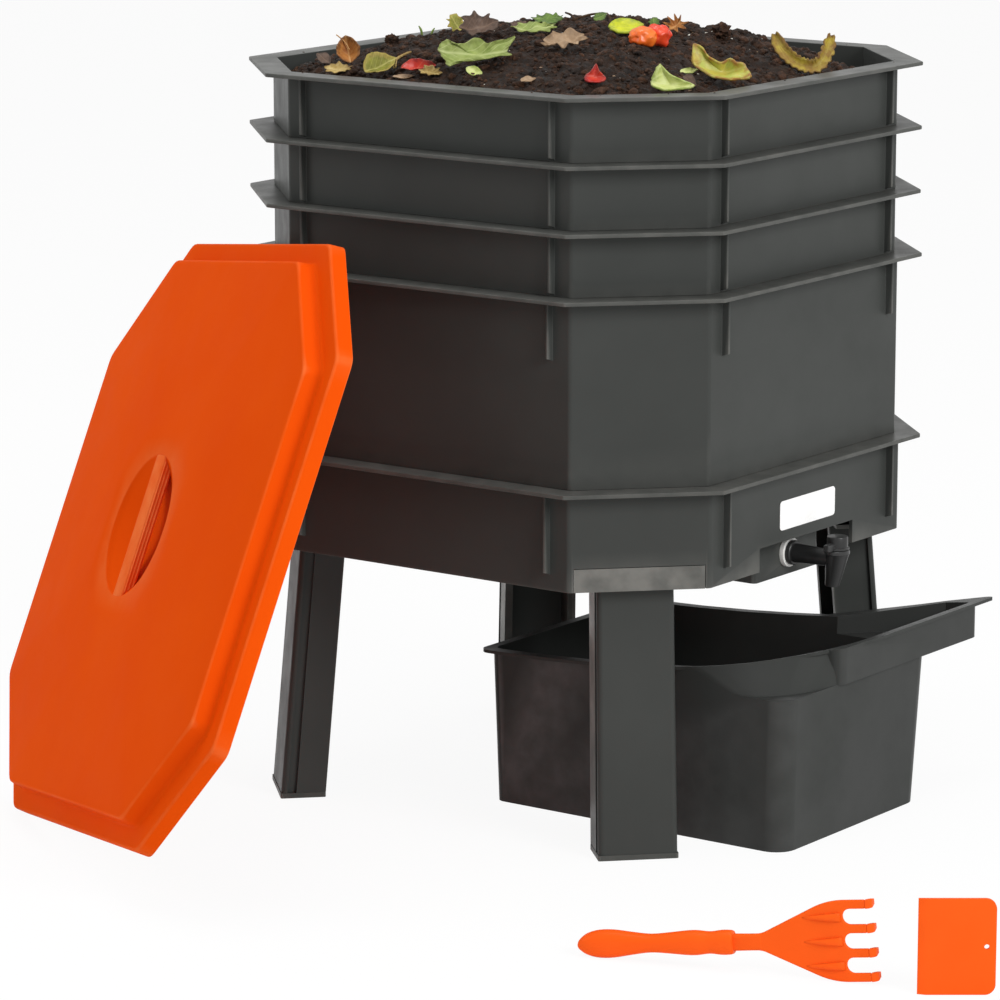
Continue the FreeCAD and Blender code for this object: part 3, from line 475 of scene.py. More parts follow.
def bend(start: Vector, corner: Vector, end: Vector, share: float) -> Vector:
    """Point of the soft bend round a corner.

    Args:
        start: Where the bend begins.
        corner: The corner.
        end: Where the bend ends.
        share: Place along the bend, from 0 to 1.

    Returns:
        The point.
    """
    return start * (1.0 - share) ** 2 + corner * 2.0 * share * (1.0 - share) + end * share ** 2


def octagon(half: float, cut: float, per_side: int, ease: float = 0.0) -> list[Pair]:
    """Points round a square with cut corners.

    Args:
        half: Half the width across the flats.
        cut: Length taken off each corner along both sides.
        per_side: Number of points on each of the eight sides.
        ease: Length of each side over which a corner is rounded.

    Returns:
        The points anticlockwise as x and y, beginning at the lower end of the +x side.
    """
    reach = half - cut
    pairs = ((half, -reach), (half, reach), (reach, half), (-reach, half),
             (-half, reach), (-half, -reach), (-reach, -half), (reach, -half))
    corners = [Vector(pair) for pair in pairs]
    bends = CORNER_POINTS if ease > 0.0 else 1
    points = []
    for index, corner in enumerate(corners):
        behind = corners[index - 1]
        ahead = corners[(index + 1) % 8]
        start = corner + (behind - corner).normalized() * ease
        end = corner + (ahead - corner).normalized() * ease
        for step in range(bends):
            points.append(bend(start, corner, end, step / max(1, bends - 1)))
        following = ahead + (corner - ahead).normalized() * ease
        straight = per_side - bends + 1
        points.extend(end.lerp(following, step / straight) for step in range(1, straight))
    return [(point.x, point.y) for point in points]


def eased(corners: Sequence[Sequence[float]], steps: int = 4) -> list[list[float]]:
    """Path through corners whose last value is how far from each the path begins to bend.

    Args:
        corners: The corners, each with its values and then its easing length.
        steps: Number of parts of each bend.

    Returns:
        The path's points, without the easing lengths.
    """
    found = []
    for index, (*values, ease) in enumerate(corners):
        corner = Vector(values)
        if ease <= 0.0:
            found.append(list(corner))
            continue
        start = corner + (Vector(corners[index - 1][:-1]) - corner).normalized() * ease
        end = corner + (Vector(corners[index + 1][:-1]) - corner).normalized() * ease
        found.extend(list(bend(start, corner, end, step / steps)) for step in range(steps + 1))
    return found


def circle(radius: float, height: float, shift: float = 0.0, sides: int = 48) -> list[Vector]:
    """Ring of points round the Z axis at a height, shifted along Y."""
    angles = [2.0 * math.pi * index / sides for index in range(sides)]
    return [Vector((radius * math.cos(a), shift + radius * math.sin(a), height)) for a in angles]


def smooth_through(points: Sequence[Sequence[float]], steps: int) -> list[list[float]]:
    """Points of a soft curve that passes through the given ones.

    Args:
        points: The points to pass through, each with the same number of values.
        steps: Number of parts between two of them.

    Returns:
        The curve's points, ends included.
    """
    found = []
    last = len(points) - 1
    axes = range(len(points[0]))
    for index in range(last):
        around = [points[max(0, min(last, index + k))] for k in (-1, 0, 1, 2)]
        for step in range(steps):
            t = step / steps
            weights = (-0.5 * t + t * t - 0.5 * t ** 3, 1.0 - 2.5 * t * t + 1.5 * t ** 3,
                       0.5 * t + 2.0 * t * t - 1.5 * t ** 3, -0.5 * t * t + 0.5 * t ** 3)
            found.append([sum(w * p[axis] for w, p in zip(weights, around)) for axis in axes])
    return found + [list(points[-1])]


def rounded_outline(corners: Sequence[Point], steps: int = 12) -> list[Vector]:
    """Flat outline through corners given as x, y and radius.

    Args:
        corners: The corners in order.
        steps: Number of parts of each rounded corner.

    Returns:
        The outline's points at height zero.
    """
    found = []
    for index, (x, y, radius) in enumerate(corners):
        corner = Vector((x, y, 0.0))
        back = Vector((*corners[index - 1][:2], 0.0)) - corner
        ahead = Vector((*corners[(index + 1) % len(corners)][:2], 0.0)) - corner
        if radius <= 0.0:
            found.append(corner)
            continue
        half_angle = back.angle(ahead) / 2.0
        back.normalize()
        ahead.normalize()
        middle = corner + (back + ahead).normalized() * (radius / math.sin(half_angle))
        start = corner + back * (radius / math.tan(half_angle)) - middle
        end = corner + ahead * (radius / math.tan(half_angle)) - middle
        for step in range(steps + 1):
            found.append(middle + start.slerp(end, step / steps).normalized() * radius)
    return found


def skin(rings: Sequence[Sequence[Vector]], cap_start: bool = True, cap_end: bool = True) -> Mesh:
    """Closed surface through rings that have as many points.

    Args:
        rings: The rings in order.
        cap_start: Whether the first ring is closed with a fan.
        cap_end: Whether the last ring is closed with a fan.

    Returns:
        The mesh, with its faces pointing outwards.
    """
    mesh = bmesh.new()
    rows = [[mesh.verts.new(point) for point in ring] for ring in rings]
    count = len(rows[0])
    for lower, upper in zip(rows, rows[1:]):
        for index in range(count):
            following = (index + 1) % count
            mesh.faces.new((lower[index], lower[following], upper[following], upper[index]))
    for capped, row in ((cap_start, rows[0]), (cap_end, rows[-1])):
        if capped:
            middle = mesh.verts.new(sum((v.co for v in row), Vector()) / count)
            for index in range(count):
                mesh.faces.new((row[index], row[(index + 1) % count], middle))
    bmesh.ops.recalc_face_normals(mesh, faces=mesh.faces)
    return mesh


def plate(outline: Sequence[Vector], low: float, high: float) -> Mesh:
    """Flat plate with an outline, between two heights.

    Args:
        outline: The outline's points.
        low: Height of the underside.
        high: Height of the top.

    Returns:
        The plate's mesh.
    """
    mesh = bmesh.new()
    rows = [[mesh.verts.new((p.x, p.y, height)) for p in outline] for height in (low, high)]
    count = len(outline)
    for index in range(count):
        following = (index + 1) % count
        mesh.faces.new((rows[0][index], rows[0][following], rows[1][following], rows[1][index]))
    mesh.faces.new(rows[0])
    mesh.faces.new(rows[1])
    bmesh.ops.recalc_face_normals(mesh, faces=mesh.faces)
    return mesh


def block(low: Point, high: Point) -> Mesh:
    """Rectangular block between two corners.

    Args:
        low: Its lowest corner.
        high: Its highest corner.

    Returns:
        The block's mesh.
    """
    mesh = bmesh.new()
    bmesh.ops.create_cube(mesh, size=1.0)
    for vertex in mesh.verts:
        vertex.co = Vector([a + (b - a) * (c + 0.5) for a, b, c in zip(low, high, vertex.co)])
    return mesh


def tube(path: Sequence[Vector], radii: Sequence[float], sides: int = 8) -> Mesh:
    """Closed round bar along a path, with a radius at each of its points.

    Args:
        path: Points of the middle line.
        radii: Radius at each point.
        sides: Number of sides.

    Returns:
        The bar's mesh.
    """
    rings = []
    for index, (point, radius) in enumerate(zip(path, radii)):
        ahead = path[min(index + 1, len(path) - 1)] - path[max(index - 1, 0)]
        turn = ahead.to_track_quat("Z", "Y")
        rings.append([point + turn @ corner for corner in circle(radius, 0.0, sides=sides)])
    return skin(rings)


@dataclass
class Edging:
    """How a moulded piece's edges are rounded."""

    width: float = 0.6 * MM
    segments: int = 2
    angle: float = 28.0

    def apply(self, piece: bpy.types.Object) -> None:
        """Round the sharp edges and weight the shading towards the large faces.

        Args:
            piece: The piece.
        """
        bevel = piece.modifiers.new("rounded_edges", "BEVEL")
        bevel.width = self.width
        bevel.segments = self.segments
        bevel.limit_method = "ANGLE"
        bevel.angle_limit = math.radians(self.angle)
        bevel.use_clamp_overlap = True
        weighted = piece.modifiers.new("even_shading", "WEIGHTED_NORMAL")
        weighted.keep_sharp = True


class Workshop:
    """Turns meshes into finished pieces that ride on the composter's bodies."""

    def __init__(self) -> None:
        """Start with nothing made."""
        self.made: list[str] = []

    def piece(self, name: str, mesh: Mesh, finish: Finish, body: str, slot: str,
              stands_for: Sequence[str] = (), place: Matrix | None = None, edging: Edging | None = None,
              sharp: float | None = 35.0, thickness: float = 0.0) -> bpy.types.Object:
        """Make one piece and report it.

        Args:
            name: Name of the piece.
            mesh: Its mesh in its own frame.
            finish: Its finish.
            body: The body that it rides on.
            slot: The record's material slot; not used.
            stands_for: The frame's nodes that it replaces.
            place: Where its frame lies, when it isn't the model's own.
            edging: How its edges are rounded, if they are.
            sharp: Angle in degrees above which an edge is shaded sharp, or nothing for soft shading.
            thickness: Thickness given to a thin sheet, or zero for a closed mesh.

        Returns:
            The finished object.
        """
        if place is not None:
            bmesh.ops.transform(mesh, matrix=place, verts=mesh.verts)
        for face in mesh.faces:
            face.smooth = True
        if sharp is not None:
            limit = math.radians(sharp)
            for edge in mesh.edges:
                edge.smooth = not (edge.is_manifold and edge.calc_face_angle(0.0) > limit)
        data = bpy.data.meshes.new(name)
        mesh.to_mesh(data)
        mesh.free()
        data.materials.append(finish.material())
        made = bpy.data.objects.new(name, data)
        bpy.context.scene.collection.objects.link(made)
        if thickness > 0.0:
            wall = made.modifiers.new("thickness", "SOLIDIFY")
            wall.thickness = thickness
            wall.offset = 0.0
        if edging is not None:
            edging.apply(made)
        return self.settle(made, body, stands_for)

    def fill(self, name: str, mesh: Mesh, finish: Finish, stands_for: Sequence[str] = (),
             sharp: float | None = None, thickness: float = 0.0) -> bpy.types.Object:
        """Make one piece of what fills the top tray.

        Args:
            name: Name of the piece.
            mesh: Its mesh.
            finish: Its finish.
            stands_for: The frame's nodes that it replaces.
            sharp: Angle in degrees above which an edge is shaded sharp, or nothing for soft shading.
            thickness: Thickness given to a thin sheet, or zero for a closed mesh.

        Returns:
            The finished object.
        """
        return self.piece(name, mesh, finish, "upper_tray", "compost_fill", stands_for,
                          sharp=sharp, thickness=thickness)

    def settle(self, made: bpy.types.Object, body: str,
               stands_for: Sequence[str] = ()) -> bpy.types.Object:
        """Let a finished object ride on its body, and report it.

        Args:
            made: The object.
            body: The body that it rides on.
            stands_for: The frame's nodes that it replaces.

        Returns:
            The same object.
        """
        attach(made, body)
        if stands_for:
            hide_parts(*stands_for)
        self.made.append(made.name)
        log.info("%s rides on %s with %d faces", made.name, body, len(made.data.polygons))
        return made

    def softened(self, node: str) -> Mesh:
        """Clean copy of a frame node's mesh, with its loose triangles joined into whole faces.

        Args:
            node: Name of the node.

        Returns:
            The joined mesh.
        """
        mesh = bmesh.new()
        mesh.from_mesh(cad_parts[node].data)
        bmesh.ops.remove_doubles(mesh, verts=mesh.verts, dist=1e-5)
        bmesh.ops.dissolve_limit(mesh, angle_limit=math.radians(0.6), verts=mesh.verts, edges=mesh.edges)
        return mesh


@dataclass
class MouldedPiece:
    """A rigid piece whose form comes straight from the frame, with its edges rounded."""

    node: str
    body: str
    finish: Finish
    slot: str
    edging: Edging = field(default_factory=Edging)

    def build(self, shop: Workshop) -> None:
        """Make the piece in place of its node.

        Args:
            shop: The workshop that finishes the pieces.
        """
        mesh = shop.softened(self.node)
        shop.piece(f"{self.node}_moulded", mesh, self.finish, self.body, self.slot,
                   (self.node,), edging=self.edging, sharp=None)


@dataclass
class Leg:
    """A splayed leg, whose foot pad is drawn in until it is almost flush."""

    corner: str
    outward_x: float
    outward_y: float
    pad_top: float = 3.85 * MM
    trim: float = 0.75 * MM

    def build(self, shop: Workshop) -> None:
        """Make the leg in place of its node.

        Args:
            shop: The workshop that finishes the pieces.
        """
        mesh = shop.softened(f"leg_{self.corner}")
        outward = Vector((self.outward_x, self.outward_y, 0.0)).normalized()
        across = Vector((-outward.y, outward.x, 0.0))
        pad = [vertex for vertex in mesh.verts if vertex.co.z < self.pad_top]
        for direction in (outward, across):
            reaches = [vertex.co.dot(direction) for vertex in pad]
            low, high = min(reaches) + self.trim, max(reaches) - self.trim
            for vertex, reach in zip(pad, reaches):
                vertex.co += direction * (min(max(reach, low), high) - reach)
        shop.piece(f"leg_{self.corner}_moulded", mesh, Finish.BODY, "stand", "body_plastic",
                   (f"leg_{self.corner}",), edging=Edging(0.7 * MM), sharp=None)


class NodeTree:
    """A geometry node tree under construction, with named inputs and short calls for its nodes."""

    def __init__(self, name: str) -> None:
        """Start an empty tree that takes a mesh and gives one back.

        Args:
            name: The tree's name.
        """
        self.tree = bpy.data.node_groups.new(name, "GeometryNodeTree")
        self.values: dict[str, object] = {}
        self.tree.interface.new_socket("Geometry", in_out="INPUT", socket_type="NodeSocketGeometry")
        self.tree.interface.new_socket("Geometry", in_out="OUTPUT", socket_type="NodeSocketGeometry")
        self.start = self.tree.nodes.new("NodeGroupInput")
        self.end = self.tree.nodes.new("NodeGroupOutput")

    def ask(self, name: str, kind: str, value: object) -> Socket:
        """Add a named input and the value that it is to have.

        Args:
            name: The input's name.
            kind: Its kind, such as Float, Int, Vector or Material.
            value: Its value.

        Returns:
            The socket that carries it.
        """
        item = self.tree.interface.new_socket(name, in_out="INPUT", socket_type=f"NodeSocket{kind}")
        self.values[item.identifier] = value
        return self.start.outputs[name]

    def node(self, kind: str, **settings: object) -> bpy.types.Node:
        """Add a node and set its options.

        Args:
            kind: Type of the node.
            settings: Its options and their values.

        Returns:
            The node.
        """
        made = self.tree.nodes.new(kind)
        for key, value in settings.items():
            setattr(made, key, value)
        return made

    def feed(self, socket: Socket, value: object) -> None:
        """Set a socket to a value, or link it to another socket.

        Args:
            socket: The socket.
            value: A value or another socket.
        """
        if isinstance(value, Socket):
            self.tree.links.new(value, socket)
        else:
            socket.default_value = value

    def math(self, kind: str, first: object, second: object) -> Socket:
        """Result of a calculation on two numbers.

        Args:
            kind: The calculation.
            first: First value or socket.
            second: Second value or socket.

        Returns:
            The result.
        """
        made = self.node("ShaderNodeMath", operation=kind)
        self.feed(made.inputs[0], first)
        self.feed(made.inputs[1], second)
        return made.outputs[0]

    def random(self, low: object, high: object, seed: object, vector: bool = False) -> Socket:
        """Random number, or random vector, between two limits for each point.

        Args:
            low: Lower limit.
            high: Upper limit.
            seed: The seed.
            vector: Whether three numbers are drawn.

        Returns:
            The random value.
        """
        made = self.node("FunctionNodeRandomValue", data_type="FLOAT_VECTOR" if vector else "FLOAT")
        first = 0 if vector else 2
        self.feed(made.inputs[first], low)
        self.feed(made.inputs[first + 1], high)
        self.feed(made.inputs["Seed"], seed)
        return made.outputs[0 if vector else 1]

    def finish(self, geometry: Socket, finish: Finish) -> None:
        """Close the tree: make the instances real and give them their material.

        Args:
            geometry: What the tree has made.
            finish: Its finish.
        """
        real = self.node("GeometryNodeRealizeInstances")
        self.feed(real.inputs[0], geometry)
        dressed = self.node("GeometryNodeSetMaterial")
        self.feed(dressed.inputs[0], real.outputs[0])
        self.feed(dressed.inputs["Material"], self.ask("Finish", "Material", finish.material()))
        self.feed(self.end.inputs[0], dressed.outputs[0])

    def run(self, mesh: Mesh) -> Mesh:
        """Send a mesh through the tree, and give back what comes out.

        Args:
            mesh: The mesh that goes in, which is used up.

        Returns:
            The plain mesh that comes out.
        """
        data = bpy.data.meshes.new("going_in")
        mesh.to_mesh(data)
        mesh.free()
        carrier = bpy.data.objects.new("going_in", data)
        bpy.context.scene.collection.objects.link(carrier)
        modifier = carrier.modifiers.new("tree", "NODES")
        modifier.node_group = self.tree
        for identifier, value in self.values.items():
            modifier[identifier] = value
        evaluated = carrier.evaluated_get(bpy.context.evaluated_depsgraph_get())
        result = bpy.data.meshes.new_from_object(evaluated)
        found = bmesh.new()
        found.from_mesh(result)
        carrier.modifiers.remove(modifier)
        bpy.data.objects.remove(carrier)
        for used in (data, result):
            bpy.data.meshes.remove(used)
        bpy.data.node_groups.remove(self.tree)
        return found


@dataclass(frozen=True)
class Row:
    """Copies of one form in a straight row, which may shorten from one to the next."""

    count: int
    step: Point
    shrink: float = 0.0

    def lay(self, item: Mesh, finish: Finish) -> Mesh:
        """Lay out the row.

        Args:
            item: The form that is repeated, which is used up.
            finish: Its finish.

        Returns:
            The row as one mesh.
        """
        tree = NodeTree("row")
        line = tree.node("GeometryNodeMeshLine", mode="OFFSET")
        tree.feed(line.inputs["Count"], tree.ask("Count", "Int", self.count))
        tree.feed(line.inputs["Offset"], tree.ask("Step", "Vector", self.step))
        index = tree.node("GeometryNodeInputIndex").outputs[0]
        less = tree.math("MULTIPLY", index, tree.ask("Shrink", "Float", self.shrink))
        scale = tree.node("ShaderNodeCombineXYZ")
        for axis, value in enumerate((1.0, tree.math("SUBTRACT", 1.0, less), 1.0)):
            tree.feed(scale.inputs[axis], value)
        placed = tree.node("GeometryNodeInstanceOnPoints")
        tree.feed(placed.inputs["Points"], line.outputs[0])
        tree.feed(placed.inputs["Instance"], tree.start.outputs["Geometry"])
        tree.feed(placed.inputs["Scale"], scale.outputs[0])
        tree.finish(placed.outputs[0], finish)
        return tree.run(item)


@dataclass(frozen=True)
class Litter:
    """Grains of one kind, strewn over a surface."""

    name: str
    finish: Finish
    density: float
    smallest: float
    largest: float
    flatness: float = 0.75
    stretch: float = 1.3
    ruggedness: float = 0.35
    fineness: int = 1
    seed: int = 1
    rarity: float = 3.0
    tip: float = 0.5

    def strew(self, ground: Mesh) -> Mesh:
        """Strew the grains.

        Args:
            ground: The surface that they lie on, which is used up.

        Returns:
            All of them as one mesh.
        """
        tree = NodeTree(self.name)
        seed = tree.ask("Seed", "Int", self.seed)
        smallest = tree.ask("Smallest", "Float", self.smallest)
        largest = tree.ask("Largest", "Float", self.largest)
        spread = tree.node("GeometryNodeDistributePointsOnFaces", distribute_method="RANDOM")
        tree.feed(spread.inputs["Mesh"], tree.start.outputs["Geometry"])
        tree.feed(spread.inputs["Density"], tree.ask("Density", "Float", self.density))
        tree.feed(spread.inputs["Seed"], seed)
        share = tree.math("POWER", tree.random(0.0, 1.0, seed), self.rarity)
        reach = tree.math("SUBTRACT", largest, smallest)
        size = tree.math("ADD", smallest, tree.math("MULTIPLY", share, reach))
        low = (0.75, 0.75, self.flatness * 0.8)
        high = (self.stretch, 1.05, self.flatness)
        form = tree.random(low, high, tree.math("ADD", seed, 1.0), vector=True)
        scale = tree.node("ShaderNodeVectorMath", operation="SCALE")
        tree.feed(scale.inputs[0], form)
        tree.feed(scale.inputs["Scale"], size)
        ball = tree.node("GeometryNodeMeshIcoSphere")
        ball.inputs["Radius"].default_value = 1.0
        ball.inputs["Subdivisions"].default_value = self.fineness
        placed = tree.node("GeometryNodeInstanceOnPoints")
        tree.feed(placed.inputs["Points"], spread.outputs["Points"])
        tree.feed(placed.inputs["Instance"], ball.outputs[0])
        turn = tree.random((-self.tip, -self.tip, 0.0), (self.tip, self.tip, FULL_TURN),
                           tree.math("ADD", seed, 2.0), vector=True)
        tree.feed(placed.inputs["Rotation"], turn)
        tree.feed(placed.inputs["Scale"], scale.outputs[0])
        real = tree.node("GeometryNodeRealizeInstances")
        tree.feed(real.inputs[0], placed.outputs[0])
        pattern = tree.node("ShaderNodeTexNoise")
        pattern.inputs["Scale"].default_value = 0.9 / self.largest
        pattern.inputs["Detail"].default_value = 2.0
        swing = tree.math("MULTIPLY", tree.math("SUBTRACT", pattern.outputs[0], 0.5), self.ruggedness * 2.0)
        push = tree.node("ShaderNodeVectorMath", operation="SCALE")
        tree.feed(push.inputs[0], tree.node("GeometryNodeInputNormal").outputs[0])
        tree.feed(push.inputs["Scale"], tree.math("MULTIPLY", swing, largest))
        moved = tree.node("GeometryNodeSetPosition")
        tree.feed(moved.inputs["Geometry"], real.outputs[0])
        tree.feed(moved.inputs["Offset"], push.outputs[0])
        tree.finish(moved.outputs[0], self.finish)
        return tree.run(ground)


@dataclass
class Tap:
    """The tap: a tapering barrel with a collar, a slanted spout, a knob with a lever, and its seals."""

    stem_radius: float = 6.4 * MM
    stem_inside: float = 16.8 * MM
    collar_radius: float = 9.0 * MM
    collar_length: float = 4.0 * MM
    collar_edge: float = 0.6 * MM
    barrel_root: float = 6.9 * MM
    barrel_end: float = 5.9 * MM
    head_radius: float = 9.0 * MM
    head_rise: float = 6.8 * MM
    head_band: float = 2.8 * MM
    head_band_foot: float = 3.4 * MM
    spout_radius: float = 5.2 * MM
    spout_drop: float = 20.2 * MM
    spout_lean: float = 3.9 * MM
    spout_wall: float = 1.5 * MM
    spout_depth: float = 9.0 * MM
    knob_radius: float = 7.6 * MM
    knob_foot: float = 8.6 * MM
    knob_foot_edge: float = 0.3 * MM
    knob_foot_height: float = 1.4 * MM
    knob_waist: float = 2.0 * MM
    knob_edge: float = 0.8 * MM
    lever_width: float = 5.0 * MM
    lever_height: float = 5.2 * MM
    lever_edge: float = 1.1 * MM

    def barrel(self, face: float, head: float, axis: float) -> Mesh:
        """Stem, collar and barrel as one turned form.

        Args:
            face: Place along Y of the outer washer's front.
            head: Place along Y of the spout's middle.
            axis: Height of the barrel's axis.

        Returns:
            The turned mesh.
        """
        edge = self.collar_edge
        shoulder = self.collar_radius - edge
        profile = [(-self.stem_inside, self.stem_radius), (0.0, self.stem_radius), (0.0, shoulder)]
        profile += [(edge, self.collar_radius), (self.collar_length - edge, self.collar_radius)]
        profile += [(self.collar_length, shoulder), (self.collar_length, self.barrel_root)]
        profile += [(face - head, self.barrel_end)]
        turn = Matrix.Translation((0.0, face, axis)) @ Matrix.Rotation(math.radians(90.0), 4, "X")
        return skin([[turn @ point for point in circle(radius, along)] for along, radius in profile])

    def spout(self, head: float, axis: float) -> Mesh:
        """Head and spout: wide at the top, narrow and drawn back at the foot, and open below.

        Args:
            head: Place along Y of its middle.
            axis: Height of the barrel's axis.

        Returns:
            The turned mesh.
        """
        low = axis - self.spout_drop
        top = axis + self.head_rise
        edge = self.collar_edge
        inner = self.spout_radius - self.spout_wall
        rings = [circle(inner, low + self.spout_depth, head + self.spout_lean * 0.6)]
        rings.append(circle(inner, low, head + self.spout_lean))
        rings.append(circle(self.spout_radius - 0.5 * edge, low, head + self.spout_lean))
        rings.append(circle(self.spout_radius, low + edge, head + self.spout_lean))
        rings.append(circle(self.head_radius - edge, top - self.head_band_foot, head))
        rings.append(circle(self.head_radius, top - self.head_band, head))
        rings.append(circle(self.head_radius, top - edge, head))
        rings.append(circle(self.head_radius - edge, top, head))
        return skin(rings)

    def knob(self, low: float, high: float, head: float) -> Mesh:
        """The knob: a foot ring, a round body and a softly rounded top.

        Args:
            low: Height of its underside.
            high: Height of its top.
            head: Place along Y of its middle.

        Returns:
            The turned mesh.
        """
        soft = 0.3 * self.knob_edge
        rings = [circle(self.knob_foot - self.knob_foot_edge, low, head)]
        rings.append(circle(self.knob_foot, low + self.knob_foot_edge, head))
        rings.append(circle(self.knob_foot, low + self.knob_foot_height, head))
        rings.append(circle(self.knob_radius, low + self.knob_waist, head))
        rings.append(circle(self.knob_radius, high - self.knob_edge, head))
        rings.append(circle(self.knob_radius - soft, high - soft, head))
        rings.append(circle(self.knob_radius - self.knob_edge, high, head))
        return skin(rings)

    def build(self, shop: Workshop) -> None:
        """Make the tap's pieces.

        Args:
            shop: The workshop that finishes the pieces.
        """
        washer_low, washer_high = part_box("tap_outer_washer")
        knob_low, knob_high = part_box("tap_knob")
        axis = (washer_low[2] + washer_high[2]) / 2.0
        head = (knob_low[1] + knob_high[1]) / 2.0
        slot = "tap_plastic"
        barrel = self.barrel(washer_low[1], head, axis)
        shop.piece("tap_barrel", barrel, Finish.TAP, "stand", slot, ("tap_body",))
        shop.piece("tap_spout", self.spout(head, axis), Finish.TAP, "stand", slot, ("tap_body",))
        knob = self.knob(knob_low[2], knob_high[2], head)
        shop.piece("tap_knob_round", knob, Finish.TAP, "tap_handle", slot, ("tap_knob",))
        half = self.lever_width / 2.0
        end = (-0.5 * self.knob_radius, head + half, knob_low[2] + self.lever_height)
        lever = block((knob_low[0], head - half, knob_low[2]), end)
        shop.piece("tap_knob_lever", lever, Finish.TAP, "tap_handle", slot, ("tap_knob",),
                   edging=Edging(self.lever_edge, 3))
        fine = Edging(0.35 * MM)
        MouldedPiece("tap_spindle", "tap_handle", Finish.TAP, slot, fine).build(shop)
        MouldedPiece("tap_lock_nut", "stand", Finish.TAP, slot, fine).build(shop)
        for node in ("tap_outer_washer", "tap_inner_washer"):
            MouldedPiece(node, "stand", Finish.RUBBER, "washer_rubber", fine).build(shop)


@dataclass
class Stand:
    """The base with its bare label plate, the four legs and the tap."""

    def build(self, shop: Workshop) -> None:
        """Make the stand's pieces.

        Args:
            shop: The workshop that finishes the pieces.
        """
        MouldedPiece("base", "stand", Finish.BODY, "body_plastic").build(shop)
        MouldedPiece("label_plate", "stand", Finish.LABEL, "label_face", Edging(0.15 * MM)).build(shop)
        corners = (("front_left", -1, -1), ("front_right", 1, -1),
                   ("back_right", 1, 1), ("back_left", -1, 1))
        for corner, x, y in corners:
            Leg(corner, x, y).build(shop)
        Tap().build(shop)


@dataclass
class Stack:
    """The deep bin and the three trays."""

    def build(self, shop: Workshop) -> None:
        """Make the stack's pieces.

        Args:
            shop: The workshop that finishes the pieces.
        """
        levels = (("deep_bin", "bin"), ("tray_lower", "lower_tray"),
                  ("tray_middle", "middle_tray"), ("tray_top", "upper_tray"))
        for node, body in levels:
            MouldedPiece(node, body, Finish.BODY, "body_plastic").build(shop)


